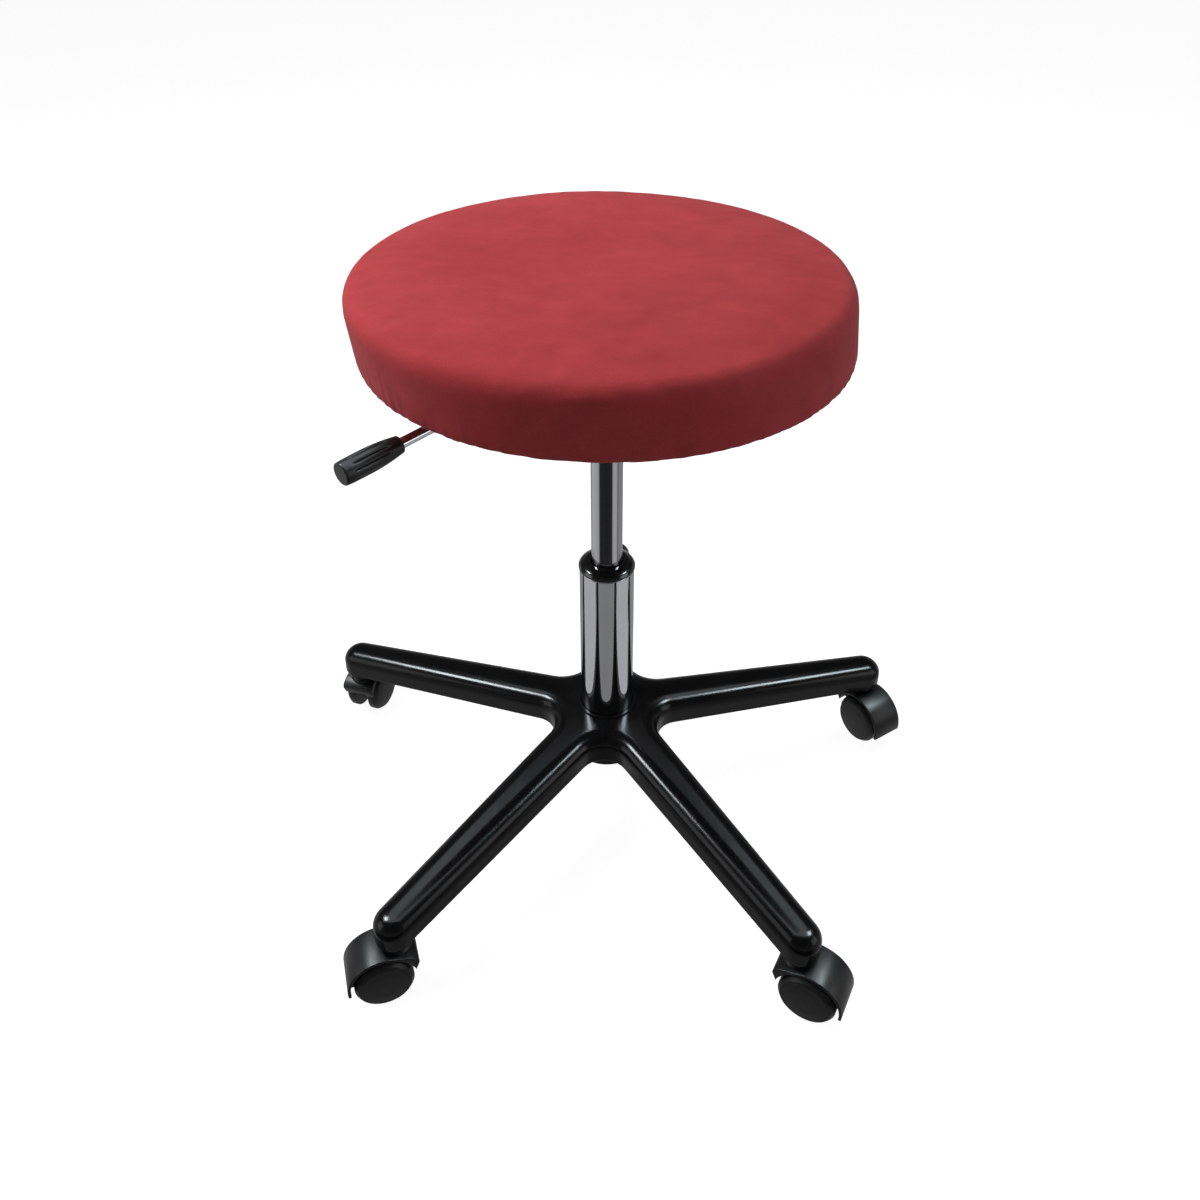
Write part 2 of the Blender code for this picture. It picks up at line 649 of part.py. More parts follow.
def make_board_and_plate():
    holes = shape_group("bolt_holes")
    hole = cylinder_mesh("bolt_hole", BOLT_RADIUS + 0.0004, PLATE_TOP - 0.02, BOLT_TOP + 0.0015, 8)
    for number, (x, y) in enumerate(bolt_spots(), 1):
        place(hole, f"bolt_hole_{number}", parent=PLATE, location=(x, y, 0), cutter=holes)

    board_mesh = cylinder_mesh(
        "seat_board", BOARD_RADIUS, BOARD_BOTTOM, BOARD_BOTTOM + BOARD_THICKNESS, 40
    )
    board = place(board_mesh, "seat_board", PLYWOOD, SEAT)
    boolean(board, "DIFFERENCE", holes)

    cloth_top = BOARD_BOTTOM - GAP
    cloth_mesh = cylinder_mesh("dust_cover", BOARD_RADIUS - 0.0125, UNDERSIDE, cloth_top, 40)
    cloth = place(cloth_mesh, "dust_cover", DUST_BLACK, SEAT)
    boolean(cloth, "DIFFERENCE", holes)

    low = PLATE_TOP - PLATE_THICKNESS
    outline = rounded_rectangle(PLATE_SIDE / 2, PLATE_SIDE / 2, 0.014)
    plate_mesh = extruded_mesh("seat_plate", outline, low, PLATE_TOP)
    plate = place(plate_mesh, "seat_plate", PAINTED_STEEL, PLATE)
    added = shape_group("plate_added")
    cut = shape_group("plate_cut")
    socket_top = PLATE_TOP - 0.001
    socket = cylinder_mesh("plate_socket", PLATE_SOCKET_RADIUS, PLATE_SOCKET_BOTTOM, socket_top, 24)
    place(socket, "plate_socket", parent=PLATE, cutter=added)
    ear_near = LEVER_PIVOT_RADIUS - EAR_LENGTH / 2
    ear_low = LEVER_HEIGHT - 0.0055
    for side in (-1, 1):
        near_y, far_y = sorted((side * EAR_INNER_FACE, side * EAR_OUTER_FACE))
        far_corner = (ear_near + EAR_LENGTH, far_y, PLATE_TOP - 0.001)
        ear = box_mesh("lever_ear", (ear_near, near_y, ear_low), far_corner)
        place(ear, f"lever_ear_{side}", parent=PLATE, cutter=added)
    cone = cylinder_mesh(
        "socket_cone",
        CYLINDER_RADIUS + GAP,
        CYLINDER_CONE_START,
        CYLINDER_TOP,
        20,
        CYLINDER_TOP_RADIUS + GAP,
    )
    place(cone, "socket_cone", parent=PLATE, cutter=cut)
    above = cylinder_mesh("socket_above", CYLINDER_TOP_RADIUS, CYLINDER_TOP - 0.001, SOCKET_ROOF, 20)
    place(above, "socket_above", parent=PLATE, cutter=cut)
    slot_half = LEVER_ROD_RADIUS + 0.0006
    slot_far = PLATE_SOCKET_RADIUS + 0.0065
    slot_low = (0.0, -slot_half, LEVER_HEIGHT - 0.011)
    slot = box_mesh("lever_slot", slot_low, (slot_far, slot_half, SOCKET_ROOF))
    place(slot, "lever_slot", parent=PLATE, cutter=cut)
    pin_hole = cylinder_mesh("pin_hole", PIN_RADIUS + GAP, -0.02, 0.02, 12)
    pin_spot = (LEVER_PIVOT_RADIUS, 0, LEVER_HEIGHT)
    place(pin_hole, "pin_hole", parent=PLATE, location=pin_spot, turn=(pi / 2, 0, 0), cutter=cut)
    boolean(plate, "UNION", added)
    boolean(plate, "DIFFERENCE", cut)
    boolean(plate, "DIFFERENCE", holes)

    pin_head = EAR_OUTER_FACE + GAP
    pin_end = EAR_OUTER_FACE + 0.0015
    pin_profile = [
        (0.0, pin_head + 0.0017),
        (PIN_HEAD_RADIUS, pin_head + 0.0017),
        (PIN_HEAD_RADIUS, pin_head),
        (PIN_RADIUS, pin_head),
        (PIN_RADIUS, -pin_end),
        (0.0, -pin_end),
    ]
    pin_mesh = turned_mesh("lever_pin", pin_profile, 12, closed=False)
    place(pin_mesh, "lever_pin", STEEL, PLATE, pin_spot, (pi / 2, 0, 0))


def make_bolts():
    """Hexagon-head bolts that hold the plate to the board."""
    seat_of_head = PLATE_TOP - PLATE_THICKNESS - GAP
    head_mesh = cylinder_mesh("bolt", BOLT_HEAD_RADIUS, seat_of_head - 0.004, seat_of_head, 6)
    head = place(head_mesh, "bolt", cutter=CUTTERS)
    shank_mesh = cylinder_mesh("bolt_shank", BOLT_RADIUS, seat_of_head - 0.002, BOLT_TOP, 8)
    shank = place(shank_mesh, "bolt_shank", cutter=CUTTERS)
    boolean(head, "UNION", shank)
    bolt = finished_mesh(head)
    for number, (x, y) in enumerate(bolt_spots(), 1):
        place(bolt, f"plate_bolt_{number}", STEEL, PLATE, (x, y, 0))


def make_lever():
    """The rod lies along local +X. Its inner end is over the release button."""
    start = LEVER_INNER_END - LEVER_PIVOT_RADIUS
    end = LEVER_ROD_END - LEVER_PIVOT_RADIUS
    bend = LEVER_BEND - LEVER_PIVOT_RADIUS
    radius = LEVER_ROD_RADIUS
    line = bpy.data.curves.new("lever_line", "CURVE")
    line.dimensions = "3D"
    line.bevel_depth = radius
    line.bevel_resolution = 2
    line.use_fill_caps = True
    route = line.splines.new("POLY")
    route.points.add(3)
    spots = (start, bend - 0.004, bend + 0.004, end)
    for point, x in zip(route.points, spots):
        point.co = (x, 0, -max(0.0, x - bend) * sin(LEVER_DROOP), 1)
    rod_mesh = welded_mesh(bpy.data.objects.new("lever_rod", line))
    rod = place(rod_mesh, "lever_rod", CHROME, LEVER)
    eye_mesh = cylinder_mesh("lever_eye", PIN_RADIUS + GAP, -0.01, 0.01, 12)
    eye = place(eye_mesh, "lever_eye", parent=LEVER, turn=(pi / 2, 0, 0), cutter=CUTTERS)
    boolean(rod, "DIFFERENCE", eye)

    # The grip is turned about the drooping end of the rod, so its heights are measured from the bend.
    first = GRIP_START - LEVER_BEND
    last = GRIP_END - LEVER_BEND
    end -= bend
    middle = (first + last) / 2
    grip = [
        (0.0, last),
        (GRIP_RADIUS - 0.0022, last),
        (GRIP_RADIUS - 0.0010, last - 0.0016),
        (GRIP_RADIUS, middle + 0.006),
        (GRIP_RADIUS - 0.0004, middle - 0.008),
        (GRIP_RADIUS - 0.0022, first + 0.004),
        (GRIP_RADIUS - 0.0035, first),
        (radius + GAP, first),
        (radius + GAP, end + 0.001),
        (0.0, end + 0.001),
    ]
    grip_mesh = turned_mesh("lever_grip", grip, 20, closed=False)
    along_droop = (0, pi / 2 + LEVER_DROOP, 0)
    place(grip_mesh, "lever_grip", PLASTIC_BLACK, LEVER, (bend, 0, 0), along_droop)


# ---------------------------------------------------------------- casters


def hood_mesh():
    """An arched hood over both wheels, the web between them, and the neck that takes the stem."""
    flat = (pi / 2, 0, 0)
    axle = (TRAIL, 0, AXLE_HEIGHT)
    outer = arc(0, 0, HOOD_OUTER, HOOD_REAR_ANGLE, HOOD_TOP_ANGLE, 6) + list(HOOD_NOSE)
    inner = arc(0, 0, HOOD_INNER, HOOD_FRONT_ANGLE, HOOD_REAR_ANGLE, 8)
    shell = extruded_mesh("hood_shell", outer + inner, -HOOD_HALF_WIDTH, HOOD_HALF_WIDTH)
    hood = place(shell, "caster_hood", location=axle, turn=flat, cutter=CUTTERS)
    bevel(hood, 0.0009, 1)
    added = shape_group("hood_added")
    cut = shape_group("hood_cut")
    sector = [(-0.004, -0.006), (0.006, -0.0085)]
    sector += arc(0, 0, HOOD_INNER + 0.0008, HOOD_REAR_ANGLE, HOOD_FRONT_ANGLE, 8)
    web = extruded_mesh("hood_web", sector, -WEB_HALF_WIDTH, WEB_HALF_WIDTH)
    place(web, "hood_web", location=axle, turn=flat, cutter=added)
    neck_low = AXLE_HEIGHT + sqrt(HOOD_INNER**2 - TRAIL**2) + 0.0006
    neck = [
        (0.0, HOOD_NECK_TOP),
        (HOOD_NECK_RADIUS - 0.0006, HOOD_NECK_TOP),
        (HOOD_NECK_RADIUS, HOOD_NECK_TOP - 0.0006),
        (HOOD_NECK_RADIUS, neck_low + 0.004),
        (HOOD_NECK_RADIUS + 0.0025, neck_low + 0.0015),
        (HOOD_NECK_RADIUS - 0.004, neck_low - 0.006),
        (0.0, neck_low - 0.006),
    ]
    place(turned_mesh("hood_neck", neck, 14, closed=False), "hood_neck", cutter=added)
    stem_hole = cylinder_mesh("stem_hole", STEM_RADIUS + GAP, STEM_BOTTOM - GAP, 0.07, 12)
    place(stem_hole, "stem_hole", cutter=cut)
    axle_hole = cylinder_mesh("axle_hole", AXLE_RADIUS + GAP, -0.02, 0.02, 12)
    place(axle_hole, "axle_hole", location=axle, turn=flat, cutter=cut)
    boolean(hood, "UNION", added)
    wheel_room = cylinder_mesh("wheel_room", HOOD_INNER - GAP, WHEEL_INNER_FACE - GAP, 0.03, 24)
    for side in (-1, 1):
        place(wheel_room, f"wheel_room_{side}", location=axle, turn=(side * pi / 2, 0, 0), cutter=cut)
    boolean(hood, "DIFFERENCE", cut)
    mesh = finished_mesh(hood)
    mesh.transform(Matrix.Translation(axle) @ Matrix.Rotation(pi / 2, 4, "X"))
    shape_smoothly(mesh)
    return mesh


def wheel_mesh():
    """A solid nylon wheel with a bevelled rim and a blind hole for the axle."""
    face = WHEEL_OUTER_FACE
    bore = AXLE_RADIUS + GAP
    profile = [
        (0.0, face),
        (0.0222, face - 0.0016),
        (WHEEL_RADIUS, face - 0.0048),
        (WHEEL_RADIUS, WHEEL_INNER_FACE + 0.0007),
        (WHEEL_RADIUS - 0.0007, WHEEL_INNER_FACE),
        (bore, WHEEL_INNER_FACE),
        (bore, face - 0.0014),
        (0.0, face - 0.0014),
    ]
    return turned_mesh("wheel", profile, WHEEL_STEPS, closed=False)


def stem_mesh():
    neck = STEM_RADIUS - 0.0009
    profile = [
        (0.0, STEM_TOP),
        (STEM_RADIUS - 0.0015, STEM_TOP),
        (STEM_RADIUS, STEM_TOP - 0.0015),
        (STEM_RADIUS, 0.0765),
        (neck, 0.0765),
        (neck, 0.0735),
        (STEM_RADIUS, 0.0735),
        (STEM_RADIUS, STEM_BOTTOM),
        (0.0, STEM_BOTTOM),
    ]
    return turned_mesh("caster_stem", profile, 12, closed=False)


def socket_bush_mesh():
    """A sleeve with a flange under the tip boss. Its bore takes the stem."""
    bore = STEM_RADIUS + GAP
    outer = STEM_RADIUS + 0.0025 - GAP
    flange = 0.0100
    low = TIP_BOSS_BOTTOM - GAP
    profile = [
        (outer, SOCKET_TOP - 0.0006),
        (outer, low),
        (flange, low),
        (flange, low - 0.0014),
        (bore, low - 0.0014),
        (bore, SOCKET_TOP - 0.0006),
    ]
    return turned_mesh("socket_bush", profile, 12)


def grip_ring_mesh():
    """The split spring ring that holds the stem in its socket."""
    ring = ring_mesh("grip_ring", STEM_RADIUS + 0.0001, STEM_RADIUS - 0.0006, 0.0738, 0.0762, 12)
    helper = place(ring, "grip_ring", cutter=CUTTERS)
    split = box_mesh("ring_split", (0, -0.0008, 0.07), (0.01, 0.0008, 0.08))
    boolean(helper, "DIFFERENCE", place(split, "ring_split", cutter=CUTTERS))
    return finished_mesh(helper)


def make_casters():
    hood = hood_mesh()
    wheel = wheel_mesh()
    stem = stem_mesh()
    bush = socket_bush_mesh()
    ring = grip_ring_mesh()
    axle = cylinder_mesh("axle", AXLE_RADIUS, -AXLE_HALF_LENGTH, AXLE_HALF_LENGTH, 12)
    for side, arm_angle, trail_angle in CASTERS:
        turn = radians(arm_angle)
        spot = (STEM_CIRCLE * cos(turn), STEM_CIRCLE * sin(turn), 0)
        place(bush, f"socket_bush_{side}", PLASTIC_BLACK, COLUMN, spot)
        swivel = pivot(f"caster_axis_{side}", spot, COLUMN, radians(trail_angle))
        place(hood, f"caster_hood_{side}", CASTER_BLACK, swivel)
        place(stem, f"caster_stem_{side}", STEEL, swivel)
        place(ring, f"stem_ring_{side}", STEEL, swivel)
        rolling = pivot(f"wheel_axis_{side}", (TRAIL, 0, AXLE_HEIGHT), swivel)
        place(axle, f"axle_{side}", STEEL, rolling, turn=(pi / 2, 0, 0))
        place(wheel, f"wheel_{side}_a", CASTER_BLACK, rolling, turn=(pi / 2, 0, 0))
        place(wheel, f"wheel_{side}_b", CASTER_BLACK, rolling, turn=(-pi / 2, 0, 0))


# ---------------------------------------------------------------- the stool

COLUMN = pivot("column_axis", (COLUMN_X, COLUMN_Y, 0))
SWIVEL = pivot("seat_swivel_axis", (0, 0, 0), COLUMN)
SEAT = pivot("seat_height_axis", (0, 0, 0), SWIVEL)
BUTTON = pivot("release_button_axis", (0, 0, 0), SEAT)
PLATE = pivot("plate_frame", (0, 0, 0), SEAT, LEVER_ANGLE)
LEVER = pivot("lever_axis", (LEVER_PIVOT_RADIUS, 0, LEVER_HEIGHT), PLATE)

make_base_star()
make_column()
make_piston()
make_cylinder()
make_cushion()
make_board_and_plate()
make_bolts()
make_lever()
make_casters()
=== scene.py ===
"""Looks of the swivel stool: padded seat, chrome gas lift, moulded base and twin-wheel casters."""

import json
from cmath import phase, rect
from math import atan2, ceil, cos, hypot, pi, radians, sin, sqrt, tan

import bmesh
import bpy
import numpy as np
from mathutils import Matrix, Vector, noise


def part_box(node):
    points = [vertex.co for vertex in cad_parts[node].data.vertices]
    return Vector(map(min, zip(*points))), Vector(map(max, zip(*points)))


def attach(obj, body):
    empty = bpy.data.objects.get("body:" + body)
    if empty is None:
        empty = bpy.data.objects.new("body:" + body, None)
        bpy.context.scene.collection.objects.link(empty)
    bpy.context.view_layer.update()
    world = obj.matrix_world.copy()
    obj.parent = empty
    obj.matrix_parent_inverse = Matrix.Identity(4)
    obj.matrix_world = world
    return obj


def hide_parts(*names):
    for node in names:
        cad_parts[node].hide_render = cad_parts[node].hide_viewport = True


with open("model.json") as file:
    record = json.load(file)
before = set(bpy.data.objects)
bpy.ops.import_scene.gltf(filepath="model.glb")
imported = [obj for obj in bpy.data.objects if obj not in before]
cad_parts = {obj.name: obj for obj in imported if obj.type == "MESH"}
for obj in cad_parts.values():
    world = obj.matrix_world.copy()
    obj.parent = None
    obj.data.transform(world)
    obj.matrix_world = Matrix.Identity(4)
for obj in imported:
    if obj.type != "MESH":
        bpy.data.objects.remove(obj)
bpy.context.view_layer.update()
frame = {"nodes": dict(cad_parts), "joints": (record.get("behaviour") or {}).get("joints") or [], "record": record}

SCENE = bpy.context.scene
JOINTS = {joint["name"]: joint for joint in frame["joints"]}
SLOT_OF = {part["node"]: part["material_slot"] for part in frame["record"]["subparts"]}
SIDES = ("back", "left", "front_left", "front_right", "right")
GAP = 0.0003
ROUND_STEPS = 96

# A run of a profile longer than LONG_RUN gets a point at SUPPORT from each of its ends.
LONG_RUN = 0.006
SUPPORT = 0.0006

# The round end of a wire: how far in from the end, and how wide there, as shares of the wire's radius.
WIRE_END = ((0.0, 0.72), (0.3, 0.93), (0.8, 1.0))

COLUMN = Vector(JOINTS["seat_swivel"]["pos_m"])
COLUMN.z = 0.0
AT_COLUMN = Matrix.Translation(COLUMN)


def radius_of(node):
    """The radius of a round node, from its box."""
    low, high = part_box(node)
    return (high.y - low.y) / 2


# ---------------------------------------------------------------- mesh tools


def shaded(mesh, angle=35):
    mesh.shade_smooth()
    mesh.set_sharp_from_angle(angle=radians(angle))
    return mesh


def mesh_from(shape, name):
    bmesh.ops.recalc_face_normals(shape, faces=shape.faces)
    mesh = bpy.data.meshes.new(name)
    shape.to_mesh(mesh)
    shape.free()
    return shaded(mesh)


def mesh_of(name, points, faces):
    mesh = bpy.data.meshes.new(name)
    mesh.from_pydata(points, [], faces)
    shape = bmesh.new()
    shape.from_mesh(mesh)
    bpy.data.meshes.remove(mesh)
    return mesh_from(shape, name)


def rounded(corners, ring=False, step=radians(12)):
    """Corners (x, y, radius) become arcs. A corner without a radius, or at an open end, stays sharp."""
    places = [complex(*corner[:2]) for corner in corners]
    points = []
    for i, corner in enumerate(corners):
        here = places[i]
        if len(corner) < 3 or (not ring and i in (0, len(corners) - 1)):
            points.append(here)
            continue
        before, after = places[i - 1] - here, places[(i + 1) % len(places)] - here
        u, v = before / abs(before), after / abs(after)
        half = abs(phase(v / u)) / 2
        reach = min(corner[2] / tan(half), 0.49 * abs(before), 0.49 * abs(after))
        centre = here + (u + v) / abs(u + v) * reach / cos(half)
        start, end = here + u * reach - centre, here + v * reach - centre
        turn = phase(end / start)
        steps = max(2, ceil(abs(turn) / step))
        points += [centre + start * rect(1, turn * k / steps) for k in range(steps + 1)]
    return [(point.real, point.imag) for point in points]


def flowing(points, steps=6):
    """A smooth curve through every point."""
    ends = [points[0], *points, points[-1]]
    made = []
    for around in zip(ends, ends[1:], ends[2:], ends[3:]):
        for k in range(steps):
            t = k / steps
            weights = (2 * t**2 - t - t**3, 2 - 5 * t**2 + 3 * t**3, t + 4 * t**2 - 3 * t**3, t**3 - t**2)
            made.append(tuple(sum(w * x for w, x in zip(weights, row)) / 2 for row in zip(*around)))
    return made + [tuple(points[-1])]


def arc(x, y, radius, start, end, steps):
    """Points on a circle round (x, y), from one angle to another."""
    angles = [start + (end - start) * k / steps for k in range(steps + 1)]
    return [(x + radius * cos(a), y + radius * sin(a)) for a in angles]


def turned(points, angle):
    """Flat points turned about the origin."""
    return [(x * cos(angle) - y * sin(angle), x * sin(angle) + y * cos(angle)) for x, y in points]


def supported(profile, ring):
    """The same outline, with a point close to each end of a long run so that the run shades straight."""
    made = []
    for start, end in zip(profile, [*profile[1:], profile[0]]):
        made.append(start)
        run = hypot(end[0] - start[0], end[1] - start[1])
        if run > LONG_RUN and (ring or start != profile[-1]):
            for share in (SUPPORT / run, 1 - SUPPORT / run):
                made.append(tuple(a + (b - a) * share for a, b in zip(start, end)))
    return made


def lathe(name, profile, ring=False, steps=ROUND_STEPS):
    """(radius, height) points turned about Z. A ring's profile is closed, any other ends on the axis."""
    points, faces, rows = [], [], []
    for radius, height in supported(profile, ring):
        count = 1 if radius < 1e-6 else steps
        rows.append(range(len(points), len(points) + count))
        for k in range(count):
            angle = 2 * pi * k / steps
            points.append((radius * cos(angle), radius * sin(angle), height))
    pairs = list(zip(rows, rows[1:])) + ([(rows[-1], rows[0])] if ring else [])
    for first, second in pairs:
        for k in range(steps):
            after = (k + 1) % steps
            around = [
                first[k % len(first)],
                first[after % len(first)],
                second[after % len(second)],
                second[k % len(second)],
            ]
            faces.append(list(dict.fromkeys(around)))
    return mesh_of(name, points, faces)


def drum(name, radius, start, end, steps=ROUND_STEPS):
    """A plain cylinder about Z, from one height to another."""
    return lathe(name, [(0.0, start), (radius, start), (radius, end), (0.0, end)], steps=steps)


def stacked(name, rings):
    """Rings with the same number of points, joined in order and capped at both ends."""
    count = len(rings[0])
    points = [point for row in rings for point in row]
    faces = []
    for level in range(len(rings) - 1):
        for k in range(count):
            after = (k + 1) % count
            base = level * count
            faces.append((base + k, base + after, base + count + after, base + count + k))
    faces.append(list(range(count)))
    faces.append(list(range(len(points) - count, len(points))))
    mesh = mesh_of(name, points, faces)
    shape = bmesh.new()
    shape.from_mesh(mesh)
    caps = [face for face in shape.faces if len(face.verts) > 4]
    bmesh.ops.triangulate(shape, faces=caps)
    bpy.data.meshes.remove(mesh)
    return mesh_from(shape, name)


def prism(name, outline, low, high, edge=0.0):
    """A flat outline raised from low to high, with its rims rounded off by edge."""
    shape = bmesh.new()
    face = shape.faces.new([shape.verts.new((x, y, low)) for x, y in outline])
    raised = bmesh.ops.extrude_face_region(shape, geom=[face])["geom"]
    tops = [item for item in raised if isinstance(item, bmesh.types.BMVert)]
    bmesh.ops.translate(shape, verts=tops, vec=(0, 0, high - low))
    if edge:
        rims = [e for e in shape.edges if abs(e.verts[0].co.z - e.verts[1].co.z) < 1e-6]
        bmesh.ops.bevel(shape, geom=rims, offset=edge, segments=3, profile=0.5, affect="EDGES")
    return mesh_from(shape, name)


def swept(name, path, radius, sides=24):
    """A round wire along (x, z) points, with rounded ends."""
    path = [Vector((x, 0, z)) for x, z in path]
    angles = [2 * pi * k / sides for k in range(sides)]
    across = Vector((0, 1, 0))
    rings = []
    for i, here in enumerate(path):
        along = (path[min(i + 1, len(path) - 1)] - path[max(i - 1, 0)]).normalized()
        upright = along.cross(across)
        inwards = along if i == 0 else -along
        rows = []
        for inward, share in WIRE_END if i in (0, len(path) - 1) else ((0.0, 1.0),):
            spot = here + inwards * inward * radius
            rows.append([spot + (across * cos(a) + upright * sin(a)) * radius * share for a in angles])
        rings += rows if i == 0 else rows[::-1]
    return stacked(name, rings)


def merged(name, meshes_and_places):
    """Several separate shapes as one mesh."""
    shape = bmesh.new()
    for mesh, place in meshes_and_places:
        copy = mesh.copy()
        copy.transform(place)
        shape.from_mesh(copy)
        bpy.data.meshes.remove(copy)
    return mesh_from(shape, name)


def applied(thing):
    """The mesh of an object with its modifiers applied. The object is removed."""
    bpy.context.view_layer.update()
    graph = bpy.context.evaluated_depsgraph_get()
    mesh = bpy.data.meshes.new_from_object(thing.evaluated_get(graph))
    mesh.name = thing.name
    bpy.data.objects.remove(thing, do_unlink=True)
    return mesh


def helper(mesh, place=Matrix.Identity(4)):
    """A plain object that shows the mesh at a place."""
    made = bpy.data.objects.new(mesh.name, mesh)
    SCENE.collection.objects.link(made)
    made.matrix_world = place
    return made


def carved(name, mesh, *steps):
    """A mesh joined with, or cut by, the other mesh of each (operation, mesh) step."""
    thing = helper(mesh)
    tools = []
    for operation, other in steps:
        tool = helper(other)
        cut = thing.modifiers.new(operation.lower(), "BOOLEAN")
        cut.operation, cut.solver, cut.object = operation, "EXACT", tool
        tools.append(tool)
    made = applied(thing)
    made.name = name
    for tool in tools:
        bpy.data.objects.remove(tool, do_unlink=True)
    return shaded(made)


def piece(name, mesh, slot, body, replaced=(), place=Matrix.Identity(4), look=None):
    """One visible piece, in place, riding on its body. It has its slot's look, unless another is named."""
    made = bpy.data.objects.new(name, mesh)
    SCENE.collection.objects.link(made)
    mesh.materials.clear()
    mesh.materials.append(LOOKS[look or slot])
    made.matrix_world = place
    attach(made, body)
    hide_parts(*replaced)
    return made


# ---------------------------------------------------------------- materials


def set_stops(node, stops):
    """Gives a colour ramp its stops: (position, grey level or colour)."""
    elements = node.color_ramp.elements
    while len(elements) < len(stops):
        elements.new(0.5)
    for element, (position, colour) in zip(elements, stops):
        element.position = position
        element.color = (*(colour if isinstance(colour, tuple) else (colour,) * 3), 1.0)


class Look:
    """A Principled material with tools for adding procedural detail. Textures are in metres."""

    def __init__(self, name, roughness, metallic=0.0, **fixed):
        self.material = bpy.data.materials.new(name)
        self.material.use_nodes = True
        self.tree = self.material.node_tree
        self.shader = self.tree.nodes["Principled BSDF"]
        self.place = self.tree.nodes.new("ShaderNodeTexCoord").outputs["Object"]
        self.shader.inputs["Roughness"].default_value = roughness
        self.shader.inputs["Metallic"].default_value = metallic
        for words, value in fixed.items():
            self.shader.inputs[words.replace("_", " ")].default_value = value
        self.normal = None

    def link(self, source, target):
        self.tree.links.new(source, target)

    def stretched(self, scale):
        made = self.tree.nodes.new("ShaderNodeMapping")
        made.inputs["Scale"].default_value = scale
        self.link(self.place, made.inputs["Vector"])
        return made.outputs["Vector"]

    def noise(self, scale, detail=3.0, rough=0.5, stretch=None, distortion=0.0):
        made = self.tree.nodes.new("ShaderNodeTexNoise")
        made.inputs["Scale"].default_value = scale
        made.inputs["Detail"].default_value = detail
        made.inputs["Roughness"].default_value = rough
        made.inputs["Distortion"].default_value = distortion
        self.link(self.stretched(stretch) if stretch else self.place, made.inputs["Vector"])
        return made.outputs["Fac"]

    def cells(self, scale):
        made = self.tree.nodes.new("ShaderNodeTexVoronoi")
        made.inputs["Scale"].default_value = scale
        self.link(self.place, made.inputs["Vector"])
        return made.outputs["Distance"]

    def ramp(self, value, *stops):
        """stops are (position, grey level or colour)."""
        made = self.tree.nodes.new("ShaderNodeValToRGB")
        self.link(value, made.inputs["Fac"])
        set_stops(made, stops)
        return made.outputs["Color"]

    def mixed(self, share, first, second, blend="MIX"):
        """share is a number or a socket; first and second are colours or sockets."""
        made = self.tree.nodes.new("ShaderNodeMix")
        made.data_type = "RGBA"
        made.blend_type = blend
        for socket, value in ((made.inputs[0], share), (made.inputs[6], first), (made.inputs[7], second)):
            if isinstance(value, bpy.types.NodeSocket):
                self.link(value, socket)
            elif isinstance(value, tuple):
                socket.default_value = (*value, 1.0)
            else:
                socket.default_value = value
        return made.outputs[2]

    def colour(self, socket):
        self.link(socket, self.shader.inputs["Base Color"])

    def roughness(self, value, low, high):
        self.link(self.ramp(value, (0.3, low), (0.7, high)), self.shader.inputs["Roughness"])

    def bump(self, height, distance, strength=1.0):
        made = self.tree.nodes.new("ShaderNodeBump")
        made.inputs["Strength"].default_value = strength
        made.inputs["Distance"].default_value = distance
        self.link(height, made.inputs["Height"])
        if self.normal:
            self.link(self.normal, made.inputs["Normal"])
        self.normal = made.outputs["Normal"]
        self.link(self.normal, self.shader.inputs["Normal"])


def red_cloth():
    """Short-nap microfibre: brushed patches, fine crossing fibres and a soft sheen."""
    look = Look("red_microfibre", 0.88, Specular_IOR_Level=0.06, Sheen_Weight=0.08, Sheen_Roughness=0.4)
    look.shader.inputs["Sheen Tint"].default_value = (1.0, 0.55, 0.52, 1.0)
    dark, pale = (0.385, 0.038, 0.045), (0.440, 0.049, 0.056)
    patches = look.ramp(look.noise(7.0, 4.0, 0.6, distortion=0.6), (0.36, dark), (0.66, pale))
    brushed = look.ramp(look.noise(38.0, 5.0, 0.62, stretch=(1.0, 1.5, 1.0)), (0.32, 0.90), (0.70, 1.07))
    fibre = look.ramp(look.noise(1500.0, 2.0, 0.6), (0.25, 0.84), (0.75, 1.12))
    tinted = look.mixed(1.0, patches, brushed, "MULTIPLY")
    look.colour(look.mixed(1.0, tinted, fibre, "MULTIPLY"))
    look.bump(look.noise(24.0, 3.0, 0.5), 0.0008, 0.35)
    for stretch in ((1.0, 3.0, 1.0), (3.0, 1.0, 1.0)):
        look.bump(look.noise(900.0, 2.0, 0.6, stretch=stretch), 0.00012, 0.6)
    return look.material


def black_moulding(name, grey, low, high, grain, depth, shine, tint=(1.0, 1.0, 1.06)):
    """Moulded plastic with a spark-eroded grain, uneven gloss and a slightly mottled colour."""
    look = Look(name, 0.4, Specular_IOR_Level=shine)
    dark = tuple(grey * part * 0.75 for part in tint)
    pale = tuple(grey * part * 1.35 for part in tint)
    look.colour(look.ramp(look.noise(30.0, 6.0, 0.65), (0.35, dark), (0.75, pale)))
    look.roughness(look.noise(55.0, 5.0, 0.6), low, high)
    look.bump(look.noise(12.0, 2.0, 0.5), 0.0003, 0.2)
    look.bump(look.cells(grain), depth, 0.3)
    return look.material


